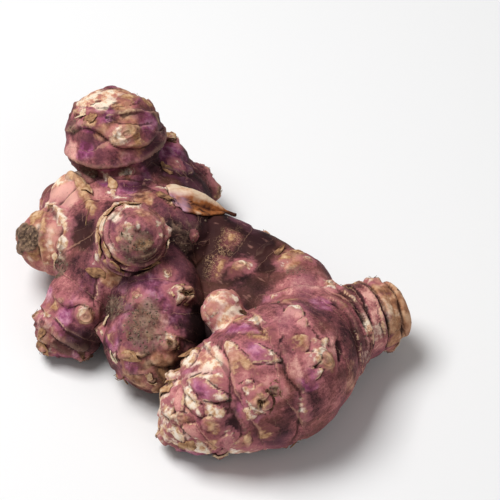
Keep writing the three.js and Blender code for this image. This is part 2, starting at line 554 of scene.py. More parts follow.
def rough(places: Array, size: float, seed: int = 0) -> Array:
    """Smooth random heights, between -1 and 1.

    Args:
        places: points, one per row.
        size: how far apart the heights change, in the points' own unit.
        seed: which pattern.

    Returns:
        One height for each point.
    """
    grid = places / size + 31.7 * (seed + SEED)
    cell = np.floor(grid).astype(np.int64)
    part = grid - cell
    part = part * part * (3 - 2 * part)
    total = np.zeros(len(places))
    for corner in np.ndindex(2, 2, 2):
        key = (cell + corner) @ PRIMES + 97 * seed
        for mixer, shift in MIXERS:
            key = (key * mixer) & 0xFFFFFFFF
            key ^= key >> shift
        total += ((key & 0xFFFF) / 32767.5 - 1) * np.prod(np.where(corner, part, 1 - part), axis=1)
    return total


# ------------------------------------------------------------------ what grows on the skin

class Tone(Enum):
    """What a patch or a line of the skin looks like."""

    CREAM = "cream"
    TAN = "tan"
    CORK = "cork"
    VIOLET = "violet"
    SOIL = "soil"
    # Dark skin and earth, and also painted shade where the tuber shades itself.
    DARK = "dark"
    BLUSH = "blush"
    TAWNY = "tawny"
    LACE = "lace"
    PALE = "pale"
    PLAIN = "plain"


CREAM, TAN, CORK, VIOLET, SOIL, DARK, BLUSH, TAWNY, LACE, PALE, PLAIN = Tone
HARD_TONES = (CREAM, TAN, CORK)
SOFT_TONES = (VIOLET, SOIL, DARK, BLUSH, TAWNY, LACE, PALE)


class EyeKind(Enum):
    """How a bud has weathered."""

    FRESH = "fresh"
    WOODY = "woody"
    HAIRY = "hairy"


FRESH, WOODY, HAIRY = EyeKind


@dataclass(frozen=True)
class Place:
    """A place on the skin.

    Attributes:
        knob: the knob that it is counted on.
        along: how far it lies along the knob's skin.
        turn: turn about the knob's spine.
    """

    knob: str
    along: float
    turn: float


@dataclass(frozen=True)
class Eye(Place):
    """A bud: a low mound with small scales on it.

    Attributes:
        radius: half its length along the growth.
        height: how far it stands out.
        kind: how it has weathered.
        wide: its width as a share of its length.
        pale: where its cream side faces, in degrees to the left of the growth.
    """

    radius: float
    height: float
    kind: EyeKind = WOODY
    wide: float = 1.1
    pale: float = 0.0


@dataclass(frozen=True)
class Flap(Place):
    """A pointed patch that a scale leaf left: its scar, or the leaf pressed on the skin.

    Attributes:
        heading: where it points, in degrees to the left of the growth.
        length: from base to tip.
        width: across its base.
        tone: what it looks like.
        rise: how far its tip stands out.
        blunt: 0 for a sharp tip, 1 for a round one.
        soft: the share of its length over which its tone comes in from the base.
        tip: what its tip looks like, where that differs.
    """

    heading: float
    length: float
    width: float
    tone: Tone = CREAM
    rise: float = 0.7
    blunt: float = 0.3
    soft: float = 0.4
    tip: Tone = PLAIN


@dataclass(frozen=True)
class Line:
    """A line along a knob's skin; its stops are the along and turn of points that it runs through."""

    knob: str
    stops: tuple[tuple[float, float], ...]


@dataclass(frozen=True)
class Band(Line):
    """A ridge, a groove or a strip of colour along the skin.

    Attributes:
        width: half of its width.
        rise: how far it stands out, or sinks in where negative.
    """

    width: float
    rise: float
    tone: Tone = PLAIN


@dataclass(frozen=True)
class Fold(Line):
    """An edge where one layer of the skin laps over another; the upper one lies on its left.

    Attributes:
        rise: how far the edge stands out.
        rim: how pale and papery the edge is, from 0 up.
        back: how far the upper layer's rise reaches behind its edge.
    """

    rise: float = 0.8
    rim: float = 0.8
    back: float = 4.0


@dataclass(frozen=True)
class Wash:
    """Soft clouds of one colour.

    Attributes:
        knob: the knob that they lie on.
        tone: what they look like.
        spots: along, turn, radius, and share of the colour in the middle, from 0 to 1, of each.
    """

    knob: str
    tone: Tone
    spots: tuple[tuple[float, float, float, float], ...]


def by_knob(kind: type, table: dict[str, tuple]) -> tuple:
    """One object of a kind for each row of a table that lists its rows by knob."""
    return tuple(kind(knob, *row) for knob, rows in table.items() for row in rows)


# Rows: along, turn, radius, height, kind, wide, pale.
EYES = by_knob(Eye, {
    "crown": ((6.2, 12, 3, 1.7, WOODY, 1.8, 100), (11.5, -56, 1.3, 0.9), (-3, -9, 1.8, 1.6, FRESH, 1.5)),
    "west": ((3, -42, 3.2, 2.4, WOODY, 0.9, 160),),
    "toe_root": ((22, -44, 3, 2.6, WOODY, 1.1, -90), (24, 1, 1.2, 0.8)),
    "heel": ((-2, -15, 1.6, 0.8), (5, -36, 3, 2.8, HAIRY, 1.3, -100), (5.5, 22, 1.6, 0.8),
        (21, -17, 2.8, 2.2, HAIRY, 1.2, -130)),
    "web": ((23, -10, 2.9, 1.8, WOODY, 1.1, 100),),
    "shoulder": ((18, 16, 1.5, 0.8),),
    "main": ((41.2, -40, 3.2, 2.2, WOODY, 1.5, -60), (55.3, -50, 3.9, 2.6, HAIRY, 1, 30),
        (51.6, -44, 1.5, 1, HAIRY, 1.2, 180)),
    "east": ((8, 40, 1.5, 0.8, FRESH), (18, 5, 2.2, 0.9, FRESH)),
    "mottled": ((12.5, 35, 1, 0.7, FRESH),),
    "toe": ((15, -110, 2.2, 1.2, HAIRY),),
})

# Rows: along, turn, heading, length, width, tone, rise, blunt, soft, tip.
FLAPS = by_knob(Flap, {
    "main": ((11, 12, 116, 6, 4, BLUSH, 0.5, 0.6), (13, -42, 30, 5, 4, PALE, 0.6, 0.8),
        (22, -3, 135, 3, 3, TAN, 0.3), (31, 38, 25, 6, 4, TAN, 0.5, 0.8),
        (42, 3, -150, 9, 6, BLUSH, 1.1, 0.7, 0.3, CREAM), (42, -8, -156, 5, 3.5, BLUSH, 0.9, 0.5, 0.3, CREAM),
        (45, -20, -170, 6, 5.5, TAN, 0.8, 0.5), (41, -19, 125, 4, 2.4, CREAM, 0.8),
        (47, 0, -30, 9, 5, TAN, 0.5), (55, 34, 128, 13, 5.5, VIOLET, 0.7, 0.3, 0.2),
        (50, 32, 120, 7, 4.5, CREAM, 0.7, 0.1, 0.2), (55, 0, 140, 13, 7, VIOLET, 1.1, 0.3, 0.4, CREAM),
        (55.4, -29, -80, 14, 6, TAN, 0.9, 0.4, 0.3, CREAM), (61, 38, 100, 6, 4),
        (57, -20, 120, 5, 5, BLUSH, 0.4), (64, 38, -30, 9, 6, TAN, 0.9, 0.8, 0.2),
        (70, 24, -165, 8, 6, CREAM, 1.1, 0.6, 0.2), (65, 8, -25, 8, 2.6, VIOLET, 0.5),
        (61, -24, -35, 12, 7, CREAM, 1.4, 0.4, 0.2), (60, -20, -35, 5, 3, TAN, 0.3, 0.8),
        (68, -7, 130, 12, 6, VIOLET, 1.5, 0.3, 0.1, CREAM), (71, 5, 88, 11, 6, CREAM, 1.1, 0.5, 0.3),
        (74, 12, 70, 9, 6, BLUSH, 1.1), (79, 9, 69, 8, 6, CREAM, 1), (69, -36, 154, 7, 6, CREAM, 1, 0.6, 0.2),
        (67, -58, -42, 6, 6, TAN, 0.9, 0.8, 0.3), (72, -31, 96, 6, 2.6, VIOLET, 0.5),
        (74, -44, -41, 8, 6, TAN, 1.1, 0.5, 0.2, CREAM), (72, -58, -31, 8, 6, BLUSH, 1.2),
        (82, -24, 81, 8, 6, CREAM, 1, 0.4, 0.2), (72, -62, 70, 7, 6, TAN, 1, 0.5, 0.3),
        (79, -62, 110, 8, 6, CREAM, 1, 0.5, 0.3), (70, -82, -144, 7, 4.5, BLUSH, 0.8),
        (66, -92, -138, 8, 4.5, TAN), (48.5, -78, -95, 7, 2, CREAM, 0.4, 0.4, 0.6),
        (56, -76, 42, 6, 4, TAN, 0.4, 0.6), (45.5, -33, 170, 6, 5, BLUSH, 1, 0.7, 0.3, CREAM),
        (46, -45, 175, 6, 4, VIOLET, 1, 0.5, 0.3, CREAM), (58, -38, -150, 5, 5, BLUSH, 1, 0.5, 0.3, CREAM),
        (60, -56, 170, 4, 4, CREAM, 0.8, 0.8, 0.2), (40, -30, -170, 4, 3, CREAM, 0.8, 0.4, 0.2),
        (56, -42, -60, 4, 3, CREAM, 0.8, 0.5, 0.3), (52, 48, 60, 6, 4, TAN, 0.8)),
    "side_bud": ((15, -60, 20, 7, 6, CREAM, 0.6, 0.6, 0.3), (15, 60, -10, 6, 6, TAN, 0.6, 0.5, 0.8),
        (16, 0, 10, 7, 6, PALE, 0.7, 0.5, 0.3), (20, -31, 120, 4, 4, TAN, 0.5, 0.7, 0.8),
        (20, 30, 175, 4, 4, CREAM, 0.5, 0.7, 0.5), (21, -90, -160, 4, 4, TAN, 0.5, 0.6, 0.6)),
    "crown": ((12, -37, -101, 7, 3, VIOLET, 0.3), (12.2, -39, 168, 5, 2.8, CREAM, 0.5, 0.2, 0.1),
        (10.4, -31, -140, 5, 5, TAN, 0.6, 0.9, 0.5), (10, -14, -157, 3, 3, VIOLET, 0.3),
        (8.8, 1, -88, 4, 2, BLUSH, 0.5), (18, 79, 100, 9, 3, VIOLET, 0.3),
        (5.8, 30, 90, 7, 5, TAN, 0.3, 0.9, 0.2), (6.6, -10, -100, 7, 4, TAWNY, 0.2, 0.8),
        (14.7, 16, -44, 7, 5, TAN, 0.4, 0.6, 0.3), (-1.5, -42, -120, 3, 2, CREAM, 0.4)),
    "crown_shoulder": ((8.8, -66, -58, 7, 4, TAN, 0.3, 0.8),),
    "west": ((14, -4, -46, 7, 6.5, TAN, 0.6, 1, 0.2), (11, -72, -40, 7, 7, TAN, 0.6, 1, 0.2),
        (5, -56, 150, 4.5, 3)),
    "hub": ((34, 36, 150, 6, 3, CREAM, 0.8), (2, 10, 16, 5, 3.4, CREAM, 0.8), (7, 5, 71, 5, 2, CREAM, 0.5)),
    "hub_east": ((18, -9, 20, 8, 7, TAN, 0.8, 0.6, 0.2), (16.8, -26, 30, 8, 5, CREAM, 1.2, 0.4, 0.3),
        (15, -20, -75, 8, 3.4, TAN, 1, 0.2, 0.2), (10, -18, -90, 5, 4, TAWNY, 0.2)),
    "button": ((20, 172, -88, 6, 4.5, CREAM, 0.5, 0.6, 0.3), (27, -81, 125, 4, 3, CREAM, 0.5, 0.5, 0.1),
        (26, -28, 95, 5, 2.4, CREAM, 0.5, 0.4, 0.1), (22.5, -50, 90, 2.4, 2.4, TAN, 0.6, 1, 0.1),
        (24.5, -14, -60, 6, 3.4, TAN, 0.5, 0.8, 0.2), (27, -150, 0, 2.2, 1.2, CREAM, 0.5),
        (22, 132, 60, 2.6, 1.4, CREAM, 0.6), (21.5, 96, 40, 2.6, 1.4, CREAM, 0.6),
        (17, -40, -87, 6, 1.6, TAN, 0.3), (22, 150, -60, 6, 4, TAN, 0.3, 0.6, 0.6)),
    "toe_root": ((24, 6, -20, 6, 3, TAN, 0.3, 0.6),),
    "toe": ((8, 12, -95, 5, 2.6, TAN, 0.3), (8.6, 46, 88, 7, 1.4, CREAM, 0.3, 0.6)),
    "heel": ((4.8, -27, -104, 3, 3, CREAM, 0.4), (24.5, 40, 80, 7, 3, TAN, 0.8, 0.3, 0.3),
        (25.5, 66, 119, 4.5, 3, CREAM, 1), (31, 16, 13, 4, 2.2, CREAM, 0.8),
        (36, 22, 115, 3.5, 1.8, CREAM, 0.8), (16.5, 29, -23, 3, 1.2, TAN, 0.5),
        (18.5, 5, -15, 2.4, 1.8, TAN, 0.5), (19, 52, -127, 3.5, 3, TAN, 0.5)),
    "bridge": ((14.5, -4, -84, 4, 2, TAN, 0.7, 0.6, 0.1), (36, -2, 120, 5, 4, TAN, 0.5, 0.8, 0.1),
        (36, -22, 110, 7, 4, TAN, 0.4, 0.8), (35.6, -2, -53, 3, 1.8, CREAM, 0.6)),
    "web": ((17, -9, -90, 7, 1.6, TAN, 0.4, 0.6, 0.1),),
    "shoulder": ((2, -31, 145, 2.4, 2.4, CREAM, 0.6),),
})

# Rows: stops, half-width, rise, tone.
BANDS = by_knob(Band, {
    "main": (
        (((-1, -180), (-0.4, -110), (0, -75), (-0.3, -51), (-1.3, -10), (-1.6, 26), (-0.8, 70),
          (-1.3, 120), (-1, 180)), 0.6, -1.3, DARK),
        (((6, -180), (6.4, -110), (5.3, -64), (6.3, -30), (5.5, 12), (5, 60), (6, 120),
          (6, 180)), 0.5, -0.9, DARK),
        (((13.5, -130), (15.6, -75), (13.6, -40), (11.8, -5), (12, 40), (13, 80)), 0.45, -0.7, DARK),
        (((20, -80), (18.4, -45), (16.9, -9), (16.6, 20)), 0.4, -0.5, DARK),
        (((2.6, -90), (2.4, -40), (1.6, 0), (1.8, 40)), 0.5, -0.4, TAWNY),
        # A dark slit beside the main bud: painted shadow under its brow.
        (((34, -37), (35, -44), (36.5, -50)), 0.9, -0.8, DARK),
        (((62, -42), (63, -54), (64, -64)), 2.2, -0.7, DARK), (((23.4, 2), (23.2, -8)), 0.7, -0.7, DARK),
        (((47.5, -10), (45.5, -6)), 0.5, -0.6, DARK)),
    "north_west": ((((20, 10), (16, 4), (10, -5), (4, -10), (-2, -14)), 1.5, 1.6, TAN),
        (((14, -66), (9, -70), (5, -76)), 1, 0.9, CREAM)),
    "west": ((((12, 48), (9.5, 26), (6.5, 8), (4.2, -8), (1.8, -26)), 1.6, 1.8, CREAM),
        (((14, 24), (12.5, 4), (11.5, -20), (11, -46)), 1.1, 1.1, TAN)),
    "crown": ((((15.4, -25), (15.6, -19)), 0.6, -0.4, DARK), (((14, -31), (14.2, -26)), 0.5, -0.3, DARK),
        (((14.1, 5), (14.4, 13)), 0.7, -0.4, DARK), (((16, 80), (13, 84), (10, 84)), 0.7, -0.9, DARK),
        (((-1.5, -48), (-2, -15), (-2, 15), (-2, 40)), 1.4, -0.7, DARK)),
    "button": ((((29.6, -100), (29.6, -40)), 1.3, -1.4, DARK),),
    "hub": ((((17, 42), (23, 42)), 3, -1.2, DARK),),
})

# Rows: stops, rise, rim, back.
FOLDS = by_knob(Fold, {
    "main": ((((8, 70), (8.8, 30), (7.8, -5), (9, -45), (8.2, -90)), 0.7, 0.9, 2.5),
        (((15, 50), (16.2, 10), (15.4, -15), (17, -50), (16.4, -90)), 0.8, 0.9, 2.5),
        (((22, 20), (22.4, -2), (23.4, -28), (25.6, -48), (27.4, -66), (27, -90)), 1, 0.7),
        (((37, 36), (40, 12), (38.6, -10), (38.6, -28), (35.5, -40)), 0.8, 0.2, 8),
        (((47.5, -4), (48.2, -24), (48.6, -40), (47.8, -54), (48.5, -70), (50, -95),
          (52, -120)), 1.1, 0.5, 8),
        (((60, 44), (58, 20), (57, -2), (59, -22), (62, -44), (62, -66), (64, -90), (66, -120)), 0.8, 0.3, 5),
        (((19.5, 0), (20, -30), (21, -52), (22.4, -76)), 0.6, 0.3)),
    "crown": (
        (((3.5, -110), (3.2, -73), (1.8, -45), (0.8, -15), (0.4, 14), (0.6, 40), (1.5, 80),
          (3, 120)), 1.6, 1.6, 3),
        (((7.5, -90), (7, -60), (7.5, -35), (6.5, -15), (4.8, 0), (4, 30), (5, 60)), 1.4, 0.7),
        (((10.5, -70), (11, -45), (10, -20), (9, 0), (9.5, 20), (11, 50)), 1.2),
        (((8, 60), (7, 35), (7.5, 15), (8.2, -5), (10, -16)), 0.7, 0.5),
        (((15, -90), (14, -50), (12.5, -10), (13.5, 30), (16, 60)), 0.5, 0.6)),
    "button": (
        (((12.4, 60), (11.8, 20), (11.6, -20), (12, -60), (12.2, -100), (12.4, -140),
          (13, 180)), 1.4, 1, 2.5),
        (((14.4, 20), (14.6, -30), (15, -70), (15.3, -110), (16, -150)), 0.9, 0.9, 2.5),
        (((19.2, 150), (18.8, 90), (18.4, 40), (18.8, -10), (19, -60), (18.6, -110),
          (19, -160)), 0.5, 0.4, 3),
        (((23, 120), (22.6, 70), (22, 30), (22.6, -10)), 0.4, 0.5, 2)),
    "toe_root": ((((24, 34), (25, 14), (24.4, -14), (21, -26), (19.4, -44), (20, -60)), 0.7, 0.4, 3),
        (((10, -22), (13, -26), (17, -40), (19, -54)), 0.9, 0.9, 3)),
    "toe": ((((8, 60), (8.6, 34), (9.4, 14)), 0.8, 0.9), (((8, 8), (9, -8), (9.8, -30), (9.6, -56)), 1),
        (((13, 60), (13.4, 30), (13.4, 4)),), (((13.4, 2), (14, -24), (13.6, -60), (12, -80)), 1, 0.9),
        (((18, 40), (18.4, 10), (18.6, -30)), 0.8, 0.7)),
    "heel": ((((9.6, 60), (10.2, 30), (10, 0), (10.6, -30)), 0.4, 0.2),
        (((24, 62), (25.5, 40), (25, 16), (24, 0)), 0.9, 0.5), (((31, 60), (31.6, 30), (32, 8)), 0.9, 0.6),
        (((27, 8), (29, -8), (28, -30)), 0.8, 0.3), (((36, 60), (36.5, 20), (37, -10)), 0.8, 0.5)),
    "bridge": ((((26, 22), (28.4, 4), (27.6, -8), (28.5, -20)), 0.5, 0),),
    "web": ((((27, -12), (28.2, -22), (29, -34)), 0.7, 0.1), (((33, -40), (33.5, -26), (36, -14)), 0.4, 0.3)),
    "shoulder": ((((2, 30), (3, 10), (2, -10)), 0.5, 0.4),),
    "east": ((((3, 20), (4, 46), (6, 70), (7, 100)), 1, 0.7),),
    "collar": ((((3, -40), (2.6, 0), (3, 40)), 0.6, 0.6),),
})

# Rows: tone, and each cloud's along, turn, radius and share.
WASHES = by_knob(Wash, {
    "crown": (
        (PALE, ((15, -25, 8, 1), (18, 0, 7, 1), (20, -60, 6, 0.8), (12.5, -32, 6, 0.8))),
        (TAWNY, ((13, 14, 5, 0.8), (20, 40, 7, 0.7), (6.4, 14, 7, 0.8), (6.5, -12, 5, 0.6),
            (3.5, 4, 6, 0.6))),
        (VIOLET, ((-3, -30, 6, 0.9), (-3, 0, 8, 0.9), (5, -46, 5, 1), (7.5, -30, 4, 1), (10, -10, 5, 1),
            (8, 45, 5, 0.7))),
        (DARK, ((-1, 40, 8, 0.9), (-4, -5, 7, 0.8), (4, -5, 6, 0.35), (3, 30, 7, 0.5), (10, 8, 5, 0.35),
            (9, 45, 7, 0.4), (11, 65, 6, 0.5))),
        (BLUSH, ((4.5, -75, 4.5, 1),)),
        (SOIL, ((-1, -60, 5, 1), (8, -58, 4, 0.7))),
    ),
    "crown_shoulder": (
        (PALE, ((10, -60, 3.5, 0.8),)),
        (TAWNY, ((6, 0, 6, 0.6),)),
    ),
    "hub": (
        (DARK, ((1, -15, 6, 0.8), (19, 42, 8, 0.9), (28, 30, 6, 0.5), (-2, -6, 6, 0.8))),
        (VIOLET, ((-1, 9, 4, 0.9), (0, 8, 5, 1), (2, -6, 7, 0.75))),
        (BLUSH, ((5, 20, 5, 0.7), (4, 14, 6, 0.6), (28, 50, 6, 0.3))),
    ),
    "collar": (
        # The collar's dark is painted shade under the crown.
        (DARK, ((3, 10, 8, 0.9), (4, -20, 8, 0.9), (8, 0, 7, 0.8))),
        (VIOLET, ((4, 5, 8, 0.9), (7, -10, 7, 0.7))),
    ),
    "east": (
        (DARK, ((8, 50, 9, 0.9), (9, 15, 8, 0.5))),
        (VIOLET, ((15, 0, 7, 0.8), (12, 10, 12, 0.8), (9, 50, 9, 0.8))),
        (BLUSH, ((7, 24, 5, 0.4),)),
    ),
    "east_low": (
        (DARK, ((4, 20, 9, 0.6),)),
    ),
    "north_west": (
        (BLUSH, ((14, -27, 8, 0.9),)),
        (PALE, ((22, -5, 7, 1),)),
        (DARK, ((6, -30, 6, 0.5),)),
    ),
    "west": (
        (BLUSH, ((8, -30, 6, 1), (14, 34, 6, 0.7))),
        (PALE, ((7, 5, 4, 0.6), (14, -10, 6, 0.7), (12, -62, 6, 0.7), (6, -50, 4, 0.6))),
        (TAWNY, ((15, -10, 6, 1), (12, -64, 6, 1))),
    ),
    "west_end": (
        (TAWNY, ((2, 30, 6, 1),)),
    ),
    "toe_root": (
        (SOIL, ((15, 44, 6, 0.9), (19, -96, 6, 1))),
        (DARK, ((10, 6, 8, 0.4),)),
        (VIOLET, ((15, -20, 6, 0.4), (25.5, 42, 5, 0.7), (26, -14, 5.5, 1), (27, -26, 4, 0.9))),
        (TAWNY, ((27, 44, 4, 0.9),)),
    ),
    "toe": (
        (VIOLET, ((9, 40, 4.5, 1), (9, -10, 4.5, 0.7), (6, -20, 12, 0.4), (12, 40, 10, 0.35))),
        (DARK, ((10, -50, 7, 0.8), (16, -30, 7, 0.4))),
        (TAWNY, ((12, -10, 5, 0.4),)),
        (PALE, ((14, 20, 8, 0.45),)),
    ),
    "button": (
        (VIOLET, ((22, -98, 6, 0.4), (14, 0, 8, 0.3))),
        (SOIL, ((16, 46, 5, 0.5), (24, 0, 9, 0.8), (26, -60, 6, 0.7), (20, 100, 9, 0.4))),
        (DARK, ((29, 0, 4, 1), (16, 90, 8, 0.3), (23, 40, 6, 0.5), (5, 20, 6, 0.3), (20, 60, 8, 0.2))),
        (TAWNY, ((23, 150, 6, 0.4), (24, 0, 4, 0.5), (5, -20, 7, 0.7), (25, -80, 6, 0.5))),
        (BLUSH, ((14, -150, 5, 0.7), (15, -70, 7, 0.6))),
        (PALE, ((15, -100, 5, 0.7), (17, -50, 5, 0.55), (20, -120, 4, 0.6))),
    ),
    "mottled": (
        (SOIL, ((14, -10, 9, 0.5),)),
        (DARK, ((8, 60, 10, 0.7), (8, 0, 9, 0.5))),
    ),
    "hub_east": (
        (DARK, ((13, 36, 6, 0.6),)),
        (TAWNY, ((10, -18, 5, 0.6),)),
    ),
    "heel": (
        (SOIL, ((13, 14, 8, 0.85), (17, 18, 8, 0.9), (20, 0, 7, 0.75), (24, 20, 7, 0.45), (8, 62, 7, 0.8))),
        (VIOLET, ((7, 4, 7, 0.45), (2, 8, 6, 0.5), (19, 58, 5, 0.9), (28, 36, 4, 0.8), (14, -10, 14, 0.35),
            (8, 40, 10, 0.35), (8, -20, 12, 0.45))),
        (DARK, ((20, -40, 7, 0.35), (12, -60, 9, 0.5), (27, -8, 7, 0.25))),
        (TAWNY, ((26, 40, 6, 0.6), (34, 40, 7, 0.6), (30, 20, 9, 0.5), (14, 8, 9, 0.5), (27, -12, 8, 0.6),
            (34, 0, 9, 0.6))),
        (BLUSH, ((12, 50, 5, 0.5),)),
        (LACE, ((8, 45, 5, 0.6),)),
    ),
    "bridge": (
        (LACE, ((15, 2, 4.5, 0.8), (13.6, 28, 4.5, 0.8))),
        # The bridge's dark: its own dark skin, and painted shade between the knobs.
        (DARK, ((10, 25, 12, 1), (15, -5, 8, 0.9), (8, 8, 9, 1), (16, 10, 8, 1), (24, 0, 11, 1),
            (30, 14, 9, 0.7), (20, -14, 8, 0.8))),
        (TAWNY, ((37, -14, 6, 0.9),)),
    ),
    "web": (
        (LACE, ((15.4, -2, 4.5, 0.8), (16.3, 19, 4, 0.7))),
        (DARK, ((16, 10, 9, 0.95), (20, 10, 9, 0.9))),
        (BLUSH, ((27, -20, 6, 0.3),)),
    ),
    "main": (
        (LACE, ((2.5, -60, 4, 0.7),)),
        (DARK, ((30, -70, 12, 0.15), (29, -40, 9, 0.3), (33, -14, 7, 0.3), (48, -66, 9, 0.35),
            (47, -60, 6, 0.4), (50, -16, 6, 0.35), (66, -58, 6, 0.6), (56, -84, 8, 0.5), (86, -90, 4, 0.9),
            (30, -20, 9, 0.3), (26, -60, 8, 0.15))),
        (PALE, ((24, -84, 9, 0.3), (75, -28, 6, 0.5), (78, -44, 6, 0.5), (74, 0, 5, 0.4),
            *((along, turn, 8, 0.75) for along, turn in (
                (66, 0), (66, 26), (70, -22), (75, 10), (78, -40), (81, 0), (77, -70), (62, 12), (72, 40),
                (83, 60), (76, 100))),
            (41, -34, 5, 0.8), (4, -30, 7, 0.35), (12, -60, 7, 0.35), (14, -10, 7, 0.3))),
        (TAWNY, ((34, -80, 9, 0.35),
            *((along, turn, 8, 1) for along in (-3, -12) for turn in range(-150, 151, 60)),
            *((2.5, turn, 5, 0.85) for turn in (-140, -95, -60, -25, 15, 60, 110, 160)),
            (9, 50, 6, 0.6), (9, 120, 6, 0.5))),
        (BLUSH, ((44, 2, 7, 0.5), (61, 0, 8, 0.8), (58, -12, 7, 0.4), (46, -34, 5, 1), (38, -36, 5, 0.8),
            (52, -42, 6, 0.8), (9, -42, 5, 0.9), (9, 0, 5, 0.7), (10, -80, 5, 0.7), (17, -55, 5, 0.5))),
        (VIOLET, ((26, 8, 6, 0.6), (41, -31, 4, 1), (45, -44, 4, 1), (46, -50, 4, 0.9), (59, -50, 4.5, 1),
            (58, -60, 4, 0.8), (58, -38, 4, 0.7), (52, 36, 6, 0.7), (65, 4, 4, 0.9), (75, 14, 5, 0.6),
            (80, 0, 5, 0.5), (46, -30, 10, 0.3), (62, -14, 10, 0.35), (54, 30, 10, 0.35))),
        (SOIL, ((52, -45, 2.4, 0.9),)),
    ),
    "shoulder": (
        (BLUSH, ((4, 0, 9, 0.45),)),
        (SOIL, ((12, 0, 5, 0.6),)),
        (VIOLET, ((0, -40, 6, 0.4),)),
    ),
    "side_bud": (
        (PALE, ((20, -10, 7, 1), (17, -40, 8, 1), (17, 20, 7, 1), (13, -20, 7, 0.8))),
        (TAWNY, ((22, -35, 4, 0.8), (19, 40, 4, 0.9), (18, -15, 9, 0.6))),
        (BLUSH, ((8, -40, 7, 0.9),)),
        (VIOLET, ((12, -90, 4, 0.9), (5, -60, 6, 0.6))),
    ),
})

WEST_SCAR = Eye("west", 17.5, -42, 4.8, 1.0)
HAND_SIDE = np.array([0.0, -0.64, 0.77])


